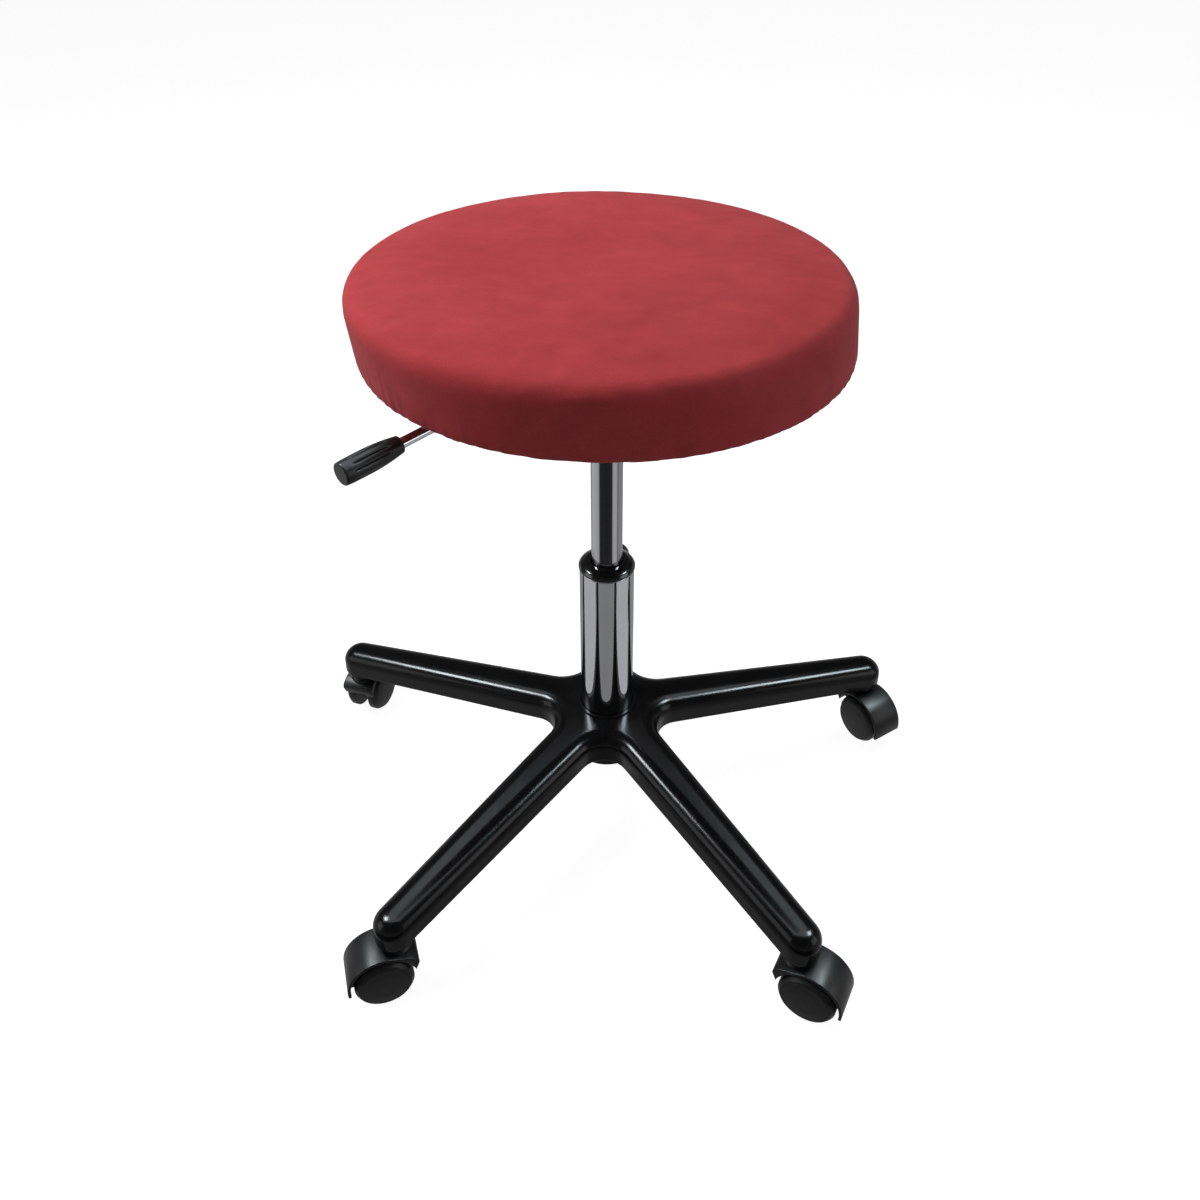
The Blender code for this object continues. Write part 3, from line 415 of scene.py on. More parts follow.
def plated(name, colour, low, high, brushed=(1.0, 1.0, 1.0)):
    """Plated or bare metal with fine drawing marks."""
    look = Look(name, 0.2, 1.0)
    dull = tuple(part * 0.93 for part in colour)
    look.colour(look.ramp(look.noise(18.0, 4.0, 0.6), (0.35, dull), (0.7, colour)))
    look.roughness(look.noise(60.0, 6.0, 0.65, stretch=brushed), low, high)
    look.bump(look.noise(420.0, 3.0, 0.6, stretch=brushed), 0.00001, 0.25)
    return look.material


def plain(name, dark, pale, low, high, scale, depth, stretch=(1.0, 1.0, 1.0)):
    """A matt surface whose colour and relief come from one grain, with uneven roughness."""
    look = Look(name, 0.6)
    grain = look.noise(scale, 5.0, 0.6, stretch=stretch)
    look.colour(look.ramp(grain, (0.3, dark), (0.7, pale)))
    look.roughness(look.noise(scale / 2, 3.0), low, high)
    look.bump(grain, depth, 0.6)
    return look.material


LOOKS = {
    "red_cover": red_cloth(),
    "foam": plain("cushion_foam", (0.62, 0.54, 0.38), (0.80, 0.73, 0.56), 0.9, 0.97, 700.0, 0.0004),
    "plywood": plain(
        "plywood_board", (0.42, 0.27, 0.14), (0.66, 0.48, 0.29), 0.6, 0.75, 60.0, 0.0002, (1.0, 9.0, 30.0)
    ),
    "dust_cloth": plain(
        "dust_cloth", (0.010, 0.010, 0.011), (0.034, 0.034, 0.036), 0.85, 0.95, 900.0, 0.0002, (1.0, 4.0, 1.0)
    ),
    "black_base": black_moulding(
        "base_nylon", 0.0040, 0.16, 0.22, 1500.0, 0.000008, 0.16, tint=(1.05, 1.0, 1.12)
    ),
    "black_plastic": black_moulding("smooth_black_plastic", 0.006, 0.10, 0.18, 2600.0, 0.00001, 0.5),
    "grip": black_moulding("grip_plastic", 0.0045, 0.30, 0.44, 900.0, 0.00005, 0.3),
    "black_caster": black_moulding("caster_nylon", 0.0080, 0.34, 0.44, 1900.0, 0.00002, 0.25),
    "chrome": plated("chrome_plate", (0.56, 0.57, 0.59), 0.03, 0.07, (14.0, 14.0, 1.0)),
    "steel": plated("zinc_plated_steel", (0.52, 0.53, 0.55), 0.24, 0.40),
    "black_steel": plain(
        "black_powder_coat", (0.012, 0.012, 0.013), (0.030, 0.030, 0.032), 0.38, 0.52, 500.0, 0.0001
    ),
    "white_nylon": plain("natural_nylon", (0.66, 0.66, 0.63), (0.78, 0.78, 0.75), 0.4, 0.55, 200.0, 0.00005),
    "brass": plated("brass", (0.74, 0.55, 0.24), 0.25, 0.4),
}

for node, thing in frame["nodes"].items():
    for material_slot in thing.material_slots:
        material_slot.material = LOOKS[SLOT_OF[node]]


# ---------------------------------------------------------------- seat

SEAT_LOW, SEAT_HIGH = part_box("seat_cover")
SEAT_RADIUS = (SEAT_HIGH.y - SEAT_LOW.y) / 2

# The cover's top leans to -X, a little further than in the CAD, and rises to the back.
CAD_LEAN = (SEAT_HIGH.x - SEAT_LOW.x) - (SEAT_HIGH.y - SEAT_LOW.y)
MORE_LEAN = 0.0020
BACK_RISE = 0.0015

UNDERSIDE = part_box("dust_cover")[0].z
BOARD_LOW, BOARD_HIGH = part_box("seat_board")
BOARD_RADIUS = radius_of("seat_board")
HEM_RADIUS = radius_of("dust_cover") + 0.0006

# The cloth simulation: the points within HELD_WALL of the side or HELD_HEIGHT of the bottom stay put.
CUSHION_VOXEL = 0.005
SPARE_COVER = 0.0012
HELD_WALL = 0.006
HELD_HEIGHT = 0.009
PRESSURE = 4.0
MOST_SWELL = 0.005
SWELL_FRAMES = 20

LEVER_GATHER = radians(226)
LEVER_GATHER_WIDTH = radians(16)
FOLD_DEPTH = 0.0013
SLACK_DEPTH = 0.0006


def cushion_start():
    """The cushion before it swells, a little flatter and wider than it ends up."""
    hem = UNDERSIDE - 0.0008
    corners = [
        (0.0, SEAT_HIGH.z - 0.0010),
        (SEAT_RADIUS + SPARE_COVER, SEAT_HIGH.z - 0.0005, 0.017),
        (SEAT_RADIUS, SEAT_LOW.z + 0.001, 0.006),
        (SEAT_RADIUS - 0.0088, SEAT_LOW.z - 0.001, 0.004),
        (BOARD_RADIUS - 0.004, hem, 0.004),
        (0.0, hem),
    ]
    return lathe("cushion", rounded(corners))


def inflated(thing):
    """Where the points of the cover end up under pressure, while its wall and its lower edge are held."""
    held = thing.vertex_groups.new(name="held")
    for point in thing.data.vertices:
        out = hypot(point.co.x, point.co.y)
        if point.co.z < SEAT_LOW.z + HELD_HEIGHT or out > SEAT_RADIUS - HELD_WALL:
            held.add([point.index], 1.0, "REPLACE")
    cloth = thing.modifiers.new("swell", "CLOTH")
    cloth.settings.vertex_group_mass = "held"
    cloth.settings.use_pressure = True
    cloth.settings.uniform_pressure_force = PRESSURE
    cloth.settings.effector_weights.gravity = 0.0
    cloth.point_cache.frame_start, cloth.point_cache.frame_end = 1, SWELL_FRAMES
    for number in range(1, SWELL_FRAMES + 1):
        SCENE.frame_set(number)
    graph = bpy.context.evaluated_depsgraph_get()
    moved = np.array([v.co for v in thing.evaluated_get(graph).to_mesh().vertices])
    thing.modifiers.clear()
    SCENE.frame_set(1)
    return moved


def swollen(mesh):
    """Blows the top up like a stuffed cover. No point moves further than MOST_SWELL."""
    thing = helper(mesh)
    remesh = thing.modifiers.new("even", "REMESH")
    remesh.mode, remesh.voxel_size = "VOXEL", CUSHION_VOXEL
    thing = helper(applied(thing))
    start = np.array([v.co for v in thing.data.vertices])
    step = inflated(thing) - start
    length = np.linalg.norm(step, axis=1, keepdims=True) + 1e-9
    start += step / length * MOST_SWELL * np.tanh(length / MOST_SWELL)
    thing.data.vertices.foreach_set("co", start.ravel())
    finer = thing.modifiers.new("finer", "SUBSURF")
    finer.levels = finer.render_levels = 1
    return applied(thing)


def pull(angle):
    """How hard the cover is gathered at this angle: folds come in uneven groups, most by the lever."""
    groups = 0.20 + 0.50 * max(0.0, noise.noise(Vector((3.1 * cos(angle), 3.1 * sin(angle), 0.4))))
    from_lever = (angle - LEVER_GATHER + pi) % (2 * pi) - pi
    return groups + 1.6 * np.exp(-((from_lever / LEVER_GATHER_WIDTH) ** 2))


def wrinkled(mesh):
    """Gathers at the bottom edge, and an uneven top that rises to the back and leans to -X."""
    height = SEAT_HIGH.z - SEAT_LOW.z
    for point in mesh.vertices:
        spot = point.co
        angle = atan2(spot.y, spot.x)
        out = hypot(spot.x, spot.y)
        near_rim = np.exp(-(((spot.z - SEAT_LOW.z) / (0.30 * height)) ** 2)) * (out > BOARD_RADIUS - 0.02)
        wave = noise.noise(Vector((26 * cos(angle), 26 * sin(angle), spot.z * 9)))
        fold = (abs(wave) ** 0.7 - 0.35) * pull(angle)
        slack = noise.noise(Vector((spot.x * 11, spot.y * 11, spot.z * 11 + 5.0)))
        inward = FOLD_DEPTH * near_rim * fold
        spot.x -= inward * cos(angle)
        spot.y -= inward * sin(angle)
        if spot.z > BOARD_HIGH.z:
            spot.z += SLACK_DEPTH * slack + BACK_RISE * (1 + spot.y / SEAT_RADIUS)
        spot.x -= (CAD_LEAN + MORE_LEAN) * (spot.z - UNDERSIDE) / (SEAT_HIGH.z - UNDERSIDE)
    return mesh


def board_room():
    """The space for the board, and the round window in the hem that the dust cloth closes."""
    play = 0.0004
    below = SEAT_LOW.z - 0.02
    corners = [
        (0.0, below),
        (HEM_RADIUS, below),
        (HEM_RADIUS, BOARD_LOW.z - play),
        (BOARD_RADIUS + play, BOARD_LOW.z - play),
        (BOARD_RADIUS + play, BOARD_HIGH.z + play),
        (0.0, BOARD_HIGH.z + play),
    ]
    return lathe("board_room", corners)


def make_cushion():
    mesh = wrinkled(swollen(cushion_start()))
    mesh = carved("cushion", mesh, ("DIFFERENCE", board_room()))
    cushion = piece("cushion", mesh, "red_cover", "seat", ("seat_cover", "seat_foam"), AT_COLUMN)


STAPLE_COUNT = 32
STAPLE_CIRCLE = HEM_RADIUS + 0.0055
STAPLE_HALF_LENGTH = 0.0048
STAPLE_WIRE = 0.00045
STAPLE_DROP = 0.0014
STAPLE_LEG = 0.0028


def make_staples():
    """Wire staples that hold the hem to the board, each a little askew."""
    crown = UNDERSIDE - STAPLE_DROP
    leg = crown + STAPLE_LEG
    path = rounded([
        (-STAPLE_HALF_LENGTH, leg),
        (-STAPLE_HALF_LENGTH, crown, 0.0006),
        (STAPLE_HALF_LENGTH, crown, 0.0006),
        (STAPLE_HALF_LENGTH, leg),
    ])
    staple = swept("staple", path, STAPLE_WIRE, 8)
    places = []
    for number in range(STAPLE_COUNT):
        angle = 2 * pi * (number + 0.2 * sin(7.0 * number)) / STAPLE_COUNT
        askew = Matrix.Rotation(angle + pi / 2 + 0.25 * sin(3.0 * number), 4, "Z")
        spot = Vector((STAPLE_CIRCLE * cos(angle), STAPLE_CIRCLE * sin(angle), 0))
        places.append((staple, Matrix.Translation(spot) @ askew))
    piece("hem_staples", merged("hem_staples", places), "steel", "seat", place=AT_COLUMN)


# ---------------------------------------------------------------- gas lift

TUBE_WALL = 0.0018
TUBE_TAPER = 0.001
TUBE_FLOOR = 0.0025
FLOOR_BORE = 0.0046
CYLINDER_BORE = 0.0117
CYLINDER_NECK = 0.0008
CONE_HEIGHT = 0.034
CONE_PLUG = 0.024
BUTTON_BORE = 0.0035


def make_tube():
    """The outer tube narrows where it sits in the base, and is closed at its foot but for a small bore."""
    low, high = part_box("outer_tube")
    radius = radius_of("outer_tube")
    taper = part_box("base_star")[1].z
    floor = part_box("thrust_race_lower")[0].z - GAP
    tube = rounded([
        (radius, high.z, 0.0006),
        (radius, taper),
        (radius - TUBE_TAPER, low.z, 0.0006),
        (radius - 0.004, low.z, 0.0006),
        (radius - 0.004, floor - TUBE_FLOOR, 0.0006),
        (FLOOR_BORE, floor - TUBE_FLOOR, 0.0003),
        (FLOOR_BORE, floor, 0.0003),
        (radius - TUBE_TAPER - TUBE_WALL, floor, 0.0008),
        (radius - TUBE_WALL, taper),
        (radius - TUBE_WALL, high.z, 0.0004),
    ], ring=True)
    mesh = lathe("column_tube", tube, ring=True)
    piece("column_tube", mesh, "chrome", "base", ("outer_tube",), AT_COLUMN)


def make_cap():
    """A crowned ring on the tube's top, with a thin plug that holds it inside the tube."""
    low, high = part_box("tube_cap")
    outer = radius_of("tube_cap")
    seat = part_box("outer_tube")[1].z + GAP
    hole = radius_of("gas_cylinder") + GAP
    plug = radius_of("outer_tube") - TUBE_WALL - GAP
    cap = rounded([
        (hole + 0.0008, high.z, 0.0006),
        (0.0188, high.z - 0.0004, 0.004),
        (0.0238, high.z - 0.0028, 0.004),
        (outer, high.z - 0.0056, 0.0012),
        (outer, seat, 0.0005),
        (plug, seat),
        (plug, low.z, 0.0004),
        (plug - 0.0017, low.z, 0.0004),
        (plug - 0.0017, seat + 0.0015),
        (hole, seat + 0.0015, 0.0003),
        (hole, high.z - 0.0010, 0.0008),
    ], ring=True)
    mesh = lathe("column_cap", cap, ring=True)
    piece("column_cap", mesh, "black_plastic", "base", ("tube_cap",), AT_COLUMN)


def make_cylinder():
    """The bright cylinder, with a slight cone at its top and the release button's bore through it."""
    low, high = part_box("gas_cylinder")
    radius = radius_of("gas_cylinder")
    cylinder = rounded([
        (radius - CYLINDER_NECK, high.z, 0.0006),
        (radius, high.z - CONE_HEIGHT),
        (radius, low.z, 0.0008),
        (CYLINDER_BORE, low.z, 0.0003),
        (CYLINDER_BORE, high.z - CONE_PLUG, 0.0006),
        (BUTTON_BORE, high.z - CONE_PLUG, 0.0003),
        (BUTTON_BORE, high.z, 0.0004),
    ], ring=True)
    mesh = lathe("lift_cylinder", cylinder, ring=True)
    piece("lift_cylinder", mesh, "chrome", "seat", ("gas_cylinder",), AT_COLUMN)


# ---------------------------------------------------------------- lever

LEVER = Vector(JOINTS["lever_tilt"]["pos_m"])
LEVER_TURN = Matrix.Rotation(atan2(LEVER.y - COLUMN.y, LEVER.x - COLUMN.x), 4, "Z")
LEVER_FRAME = Matrix.Translation(LEVER) @ LEVER_TURN
LEVER_REACH = hypot(LEVER.x - COLUMN.x, LEVER.y - COLUMN.y)
ROD_RADIUS = 0.004
ROD_INNER_END = -0.002 - LEVER_REACH
ROD_BEND = 0.160 - LEVER_REACH
BEND_REACH = 0.012
BEND_STEPS = 6
ROD_END = 0.240 - LEVER_REACH
DROOP = radians(3.4)
GRIP_START = 0.204 - LEVER_REACH
GRIP_END = 0.252 - LEVER_REACH
GRIP_RADIUS = 0.009
GRIP_END_RADIUS = 0.0085
GRIP_ROUNDING = 0.0012
FLUTES = 10
FLUTE_DEPTH = 0.0013
FLUTE_START = (0.16, 0.30)
FLUTE_END = (0.88, 0.76)
EYE_RADIUS = 0.0023


def ramped(value, start, end):
    """0 at start and before it, 1 at end and past it, and even in between."""
    return max(0.0, min(1.0, (value - start) / (end - start)))


def grip_mesh():
    """A barrel that swells towards its end, with lengthwise flutes round its middle. It lies along +Z."""
    length = GRIP_END - GRIP_START
    outline = flowing([
        (0.0065, 0.0),
        (0.0070, 0.07 * length),
        (0.0081, 0.24 * length),
        (0.0089, 0.46 * length),
        (GRIP_RADIUS, 0.66 * length),
        (0.0089, 0.84 * length),
        (GRIP_END_RADIUS, 0.97 * length),
    ], 8)
    end = arc(GRIP_END_RADIUS - GRIP_ROUNDING, 0.97 * length, GRIP_ROUNDING, 0, pi / 2, 5)[1:]
    bore = ROD_RADIUS + GAP
    depth = ROD_END - GRIP_START + 0.001
    inside = [(bore, depth), (bore, 0.0), (0.0050, 0.0)]
    profile = [(0.0, depth), *inside, *outline, *end, (0.0, end[-1][1] + 0.0002)]
    mesh = lathe("lever_grip_barrel", profile, steps=120)
    for point in mesh.vertices:
        spot = point.co
        out = hypot(spot.x, spot.y)
        if out < 0.0062 or spot.z < 0.002:
            continue
        share = spot.z / length
        fade = ramped(share, *FLUTE_START) * ramped(share, *FLUTE_END)
        fade = fade * fade * (3 - 2 * fade)
        groove = max(0.0, cos(FLUTES * atan2(spot.y, spot.x))) ** 3
        shrink = 1 - FLUTE_DEPTH * fade * groove / out
        spot.x *= shrink
        spot.y *= shrink
    return shaded(mesh, 50)


def make_lever():
    """A wire that droops a little past its bend, drilled for the pin, and the grip on its end."""
    path = [(ROD_INNER_END, 0.0), (ROD_INNER_END + 0.004, 0.0), (ROD_BEND - BEND_REACH, 0.0)]
    for k in range(1 - BEND_STEPS, BEND_STEPS + 1):
        share = k / BEND_STEPS
        path.append((ROD_BEND + BEND_REACH * share, -BEND_REACH / 4 * sin(DROOP) * (1 + share) ** 2))
    path += [(x, -(x - ROD_BEND) * sin(DROOP)) for x in (ROD_BEND + 0.03, ROD_END)]
    rod = swept("lever_wire", path, ROD_RADIUS)
    eye = drum("eye", EYE_RADIUS, -0.01, 0.01, 32)
    eye.transform(Matrix.Rotation(pi / 2, 4, "X"))
    rod = carved("lever_wire", rod, ("DIFFERENCE", eye))
    piece("lever_wire", rod, "chrome", "lever", ("lever_rod",), LEVER_FRAME)

    start = Matrix.Translation((ROD_BEND, 0, 0)) @ Matrix.Rotation(pi / 2 + DROOP, 4, "Y")
    along = start @ Matrix.Translation((0, 0, GRIP_START - ROD_BEND))
    piece("lever_handle", grip_mesh(), "black_plastic", "lever", ("lever_grip",), LEVER_FRAME @ along, "grip")


# ---------------------------------------------------------------- base

STEM_SPOTS = {side: Vector(JOINTS["caster_swivel_" + side]["pos_m"]) - COLUMN for side in SIDES}
ARM_COUNT = len(SIDES)
STEM_CIRCLE = hypot(STEM_SPOTS["back"].x, STEM_SPOTS["back"].y)
TIP_HALF_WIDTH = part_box("base_star")[1].y - COLUMN.y - STEM_CIRCLE
HUB_HALF_WIDTH = 0.0233
ARM_TOP = 0.1125
ARM_HEIGHT = 0.0265
ARM_SLOPE = 0.0845
CROWN = radians(13)
SHOULDER = 0.013
RIDGE = 0.001
LOWER_EDGE = 0.0015
FILLET = 0.024
WALL = 0.004
RIB = 0.0024
CELL_ENDS = (0.066, 0.105, 0.150, 0.198, 0.250)
CELL_CORNER = 0.002
CELL_EDGE = 0.0015
HUB_DISC_RADIUS = 0.0510
HUB_BOSS_RADIUS = 0.036
BORE_ENDS = (0.14, 0.04)
BOSS_RADIUS = 0.012
BOSS_TOP = 0.075
SOCKET_RADIUS = 0.008
SOCKET_ENDS = (0.082, 0.045)
TAPER = atan2(HUB_HALF_WIDTH - TIP_HALF_WIDTH, STEM_CIRCLE)


def lowered(mesh):
    """The same mesh, falling away from the column as the arms do."""
    for point in mesh.vertices:
        point.co.z -= ARM_SLOPE * hypot(point.co.x, point.co.y)
    return mesh


def star_ring(inset, height):
    """The plan of the base, drawn in by inset all round."""
    half_turn = pi / ARM_COUNT
    reach = (HUB_HALF_WIDTH * cos(TAPER) + FILLET) / sin(half_turn + TAPER)
    turn = pi / 2 - half_turn - TAPER
    points = []
    for arm in range(ARM_COUNT):
        angle = pi / 2 + 2 * half_turn * arm
        tip = arc(STEM_CIRCLE, 0, TIP_HALF_WIDTH - inset, -pi / 2 + TAPER, pi / 2 - TAPER, 24)
        fillet = arc(reach, 0, FILLET + inset, pi + turn, pi - turn, 14)
        points += turned(tip, angle) + turned(fillet, angle + half_turn)
    return [(x, y, height) for x, y in points]


def star_mesh():
    """The arms and the web between them: a slightly crowned top, round shoulders, straight walls."""
    ridge = TIP_HALF_WIDTH - RIDGE
    crown = (ridge - SHOULDER * (1 - sin(CROWN))) / sin(CROWN)
    rings = []
    for k in range(9):
        angle = CROWN * k / 8
        rings.append(star_ring(ridge - crown * sin(angle), ARM_TOP - crown * (1 - cos(angle))))
    edge = ARM_TOP - crown * (1 - cos(CROWN)) + SHOULDER * (1 - cos(CROWN))
    for k in range(1, 13):
        angle = CROWN + (pi / 2 - CROWN) * k / 12
        rings.append(star_ring(SHOULDER * (1 - sin(angle)), edge - SHOULDER * (1 - cos(angle))))
    bottom = ARM_TOP - ARM_HEIGHT
    rings.append(star_ring(0, edge - SHOULDER - SUPPORT))
    rings.append(star_ring(0, bottom + LOWER_EDGE + SUPPORT))
    for k in range(5):
        angle = pi / 2 * k / 4
        rings.append(star_ring(LOWER_EDGE * (1 - cos(angle)), bottom + LOWER_EDGE * (1 - sin(angle))))
    return lowered(stacked("star", rings))


def hub_mesh():
    """A low ring round the tube, the disc that the arms grow from, and a round boss below it."""
    low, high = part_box("base_star")
    profile = rounded([
        (0.0, high.z),
        (0.0277, high.z, 0.0006),
        (0.0283, 0.1085),
        (0.0440, 0.1062),
        (0.0500, 0.1035),
        (HUB_DISC_RADIUS, 0.100),
        (HUB_DISC_RADIUS, 0.086, 0.003),
        (HUB_BOSS_RADIUS + 0.001, 0.082, 0.004),
        (HUB_BOSS_RADIUS, low.z, 0.002),
        (0.0, low.z),
    ])
    return lathe("hub", profile)


def cell_mesh(near, far, last):
    """One of the hollows under an arm, between two ribs. The last one ends in a half circle."""
    def half(x):
        return HUB_HALF_WIDTH + (TIP_HALF_WIDTH - HUB_HALF_WIDTH) * x / STEM_CIRCLE - WALL

    if last:
        end = arc(far, 0, half(far), -pi / 2, pi / 2, 14)
    else:
        end = [(far, -half(far), CELL_CORNER), (far, half(far), CELL_CORNER)]
    corners = [(near, -half(near), CELL_CORNER), *end, (near, half(near), CELL_CORNER)]
    top = ARM_TOP - WALL
    return lowered(prism("cell", rounded(corners, ring=True), top - 2 * ARM_HEIGHT, top, CELL_EDGE))


def make_base():
    """Arms and hub in one moulding, bored for the column, with a socket for each stem and hollows below."""
    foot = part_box("base_star")[0].z + 0.002
    rim = [(BOSS_RADIUS, BOSS_TOP), (BOSS_RADIUS, foot, 0.0008)]
    boss = lathe("boss", rounded([(0.0, BOSS_TOP), *rim, (0.0, foot)]), steps=48)
    socket = drum("socket", SOCKET_RADIUS, *SOCKET_ENDS, 48)
    bore = drum("bore", radius_of("outer_tube") + 2 * GAP, *BORE_ENDS)
    spots = [Matrix.Translation((spot.x, spot.y, 0)) for spot in STEM_SPOTS.values()]
    turns = [Matrix.Rotation(atan2(spot.y, spot.x), 4, "Z") for spot in STEM_SPOTS.values()]
    ends = list(zip(CELL_ENDS, CELL_ENDS[1:]))
    cells = [cell_mesh(near, far - RIB, False) for near, far in ends[:-1]] + [cell_mesh(*ends[-1], True)]
    hollows = [(cell, turn) for cell in cells for turn in turns] + [(socket, spot) for spot in spots]
    mesh = carved(
        "base_moulding",
        star_mesh(),
        ("UNION", hub_mesh()),
        ("DIFFERENCE", bore),
        ("UNION", merged("bosses", [(boss, spot) for spot in spots])),
        ("DIFFERENCE", merged("hollows", hollows)),
    )
    piece("base_moulding", shaded(mesh, 32), "black_base", "base", ("base_star",), AT_COLUMN)


# ---------------------------------------------------------------- casters

AXLE_HEIGHT = JOINTS["wheel_roll_back_a"]["pos_m"][2]
TRAIL = 0.014
WHEEL_INNER_FACE = 0.0076
WHEEL_OUTER_FACE = 0.0193
AXLE_RADIUS = 0.003
STEM_RADIUS = 0.0055
STEM_BOTTOM = 0.034
HOOD_OUTER = 0.0302
HOOD_INNER = 0.0277
HOOD_HALF_WIDTH = 0.0168
HOOD_REAR = radians(-8)
HOOD_PEAK = radians(100)
HOOD_CROWN_END = HOOD_PEAK - 0.2
HOOD_FRONT = radians(163)
HOOD_NOSE = ((-0.0140, 0.0268), (-0.0230, 0.0245), (-0.0290, 0.0205), (-0.0300, 0.0165))
NECK_RADIUS = 0.0102
NECK_TOP = 0.0558
WEB_HALF_WIDTH = 0.0072
RING_ENDS = (0.0738, 0.0762)
RING_PROUD = 0.00004
RING_DEPTH = 0.0006
RING_HALF_SPLIT = radians(8)


def axle_frame(side):
    """A frame whose Z runs along the axle, out through the wheel on one side."""
    return Matrix.Translation((TRAIL, 0, AXLE_HEIGHT)) @ Matrix.Rotation(side * pi / 2, 4, "X")


def on_axle(mesh, side=1):
    mesh.transform(axle_frame(side))
    return mesh


def hood_mesh():
    """An arched hood over both wheels, the web between them and the flared neck round the stem."""
    crown = arc(0, 0, HOOD_OUTER, HOOD_REAR, HOOD_CROWN_END, 22)
    peak = (HOOD_OUTER * cos(HOOD_PEAK), HOOD_OUTER * sin(HOOD_PEAK))
    front = flowing([crown[-1], peak, *HOOD_NOSE], 5)[1:]
    inner = arc(0, 0, HOOD_INNER, HOOD_FRONT, HOOD_REAR, 40)
    shell = on_axle(prism("caster_hood", crown + front + inner, -HOOD_HALF_WIDTH, HOOD_HALF_WIDTH, 0.0008))
    sector = [(-0.004, -0.006), (0.006, -0.0085), *arc(0, 0, HOOD_INNER + 0.0008, HOOD_REAR, HOOD_FRONT, 36)]
    web = on_axle(prism("web", sector, -WEB_HALF_WIDTH, WEB_HALF_WIDTH))
    arch = AXLE_HEIGHT + sqrt(HOOD_INNER**2 - TRAIL**2)
    neck = rounded([
        (0.0, NECK_TOP),
        (NECK_RADIUS, NECK_TOP, 0.0009),
        (NECK_RADIUS, arch + 0.0045, 0.004),
        (NECK_RADIUS + 0.0032, arch + 0.0012, 0.002),
        (NECK_RADIUS - 0.004, arch - 0.0055),
        (0.0, arch - 0.0055),
    ])
    neck = lathe("neck", neck, steps=64)
    cuts = [
        drum("hole", STEM_RADIUS + GAP, 0.07, STEM_BOTTOM - GAP, 48),
        on_axle(drum("axle_hole", AXLE_RADIUS + GAP, 0.02, -0.02, 32)),
    ]
    for side in (-1, 1):
        cuts.append(on_axle(drum("room", HOOD_INNER - GAP, 0.03, WHEEL_INNER_FACE - GAP), side))
    differences = [("DIFFERENCE", cut) for cut in cuts]
    return carved("caster_hood", shell, ("UNION", web), ("UNION", neck), *differences)


def wheel_mesh():
    """A wheel with a crowned tread, a broad bevelled rim and a slightly domed face."""
    tread, face, back = AXLE_HEIGHT, WHEEL_OUTER_FACE, WHEEL_INNER_FACE
    profile = rounded([
        (0.0, face),
        (0.0120, face - 0.0003, 0.02),
        (0.0196, face - 0.0011, 0.0008),
        (0.0201, face - 0.0017, 0.0003),
        (0.0206, face - 0.0012, 0.0004),
        (0.0218, face - 0.0017, 0.0012),
        (0.0238, face - 0.0042, 0.0010),
        (tread, face - 0.0056, 0.0008),
        (tread, back, 0.0010),
        (0.0150, back, 0.0006),
        (0.0140, back + 0.0012, 0.0006),
        (0.0062, back + 0.0012, 0.0006),
        (0.0055, back, 0.0004),
        (AXLE_RADIUS + GAP, back, 0.0003),
        (AXLE_RADIUS + GAP, face - 0.0017),
        (0.0, face - 0.0017),
    ])
    return lathe("wheel", profile)


def spring_ring_mesh():
    """The split ring in the stem's groove."""
    start, end = RING_HALF_SPLIT, 2 * pi - RING_HALF_SPLIT
    outline = arc(0, 0, STEM_RADIUS + RING_PROUD, start, end, 60)
    outline += arc(0, 0, STEM_RADIUS - RING_DEPTH, end, start, 60)
    return prism("spring_ring", outline, *RING_ENDS)


def make_casters():
    hood = hood_mesh()
    wheel = wheel_mesh()
    ring = spring_ring_mesh()
    for side in SIDES:
        spot = STEM_SPOTS[side] + COLUMN
        away = Vector(JOINTS[f"wheel_roll_{side}_a"]["pos_m"]) - spot
        place = Matrix.Translation((spot.x, spot.y, 0)) @ Matrix.Rotation(atan2(away.y, away.x), 4, "Z")
        piece(f"hood_{side}", hood, "black_caster", f"caster_{side}", (f"caster_hood_{side}",), place)
        piece(f"spring_ring_{side}", ring, "steel", f"caster_{side}", (f"stem_ring_{side}",), place)
        for end, turn in (("a", 1), ("b", -1)):
            node = f"wheel_{side}_{end}"
            piece(f"roller_{side}_{end}", wheel, "black_caster", node, (node,), place @ axle_frame(turn))


# ---------------------------------------------------------------- stage, light and camera

STAGE_GREY = 0.35
STAGE_GLOW = 0.92
FLOOR_HALF_SIZE = 14.0
WALL_RADIUS = 12.0
WALL_ENDS = (9.0, -1.0)
CARD_HALF_SIZE = 1.8
CARD_HEIGHT = 0.001

# Painted reflection: how bright the floor looks in the chrome, darkest on the camera's side as painted shade:
# (degrees round the column from the camera's side, grey level).
# The outer tube reflects NEAR and the cylinder FAR, which meet at PAINTED_REFLECTION_EDGE, in metres from the column.
PAINTED_REFLECTION_NEAR = (
    (-180, 0.50), (-150, 0.34), (-116, 0.34), (-106, 0.60), (-50, 0.62), (-40, 0.32), (0, 0.30),
    (34, 0.32), (44, 0.62), (104, 0.60), (114, 0.34), (150, 0.34), (180, 0.50),
)
PAINTED_REFLECTION_FAR = (
    (-180, 0.50), (-140, 0.30), (-118, 0.62), (-62, 0.50), (-50, 0.03), (0, 0.02), (35, 0.03),
    (48, 0.55), (76, 0.50), (84, 0.10), (92, 0.34), (140, 0.30), (180, 0.50),
)
PAINTED_REFLECTION_EDGE = (0.371, 0.379)


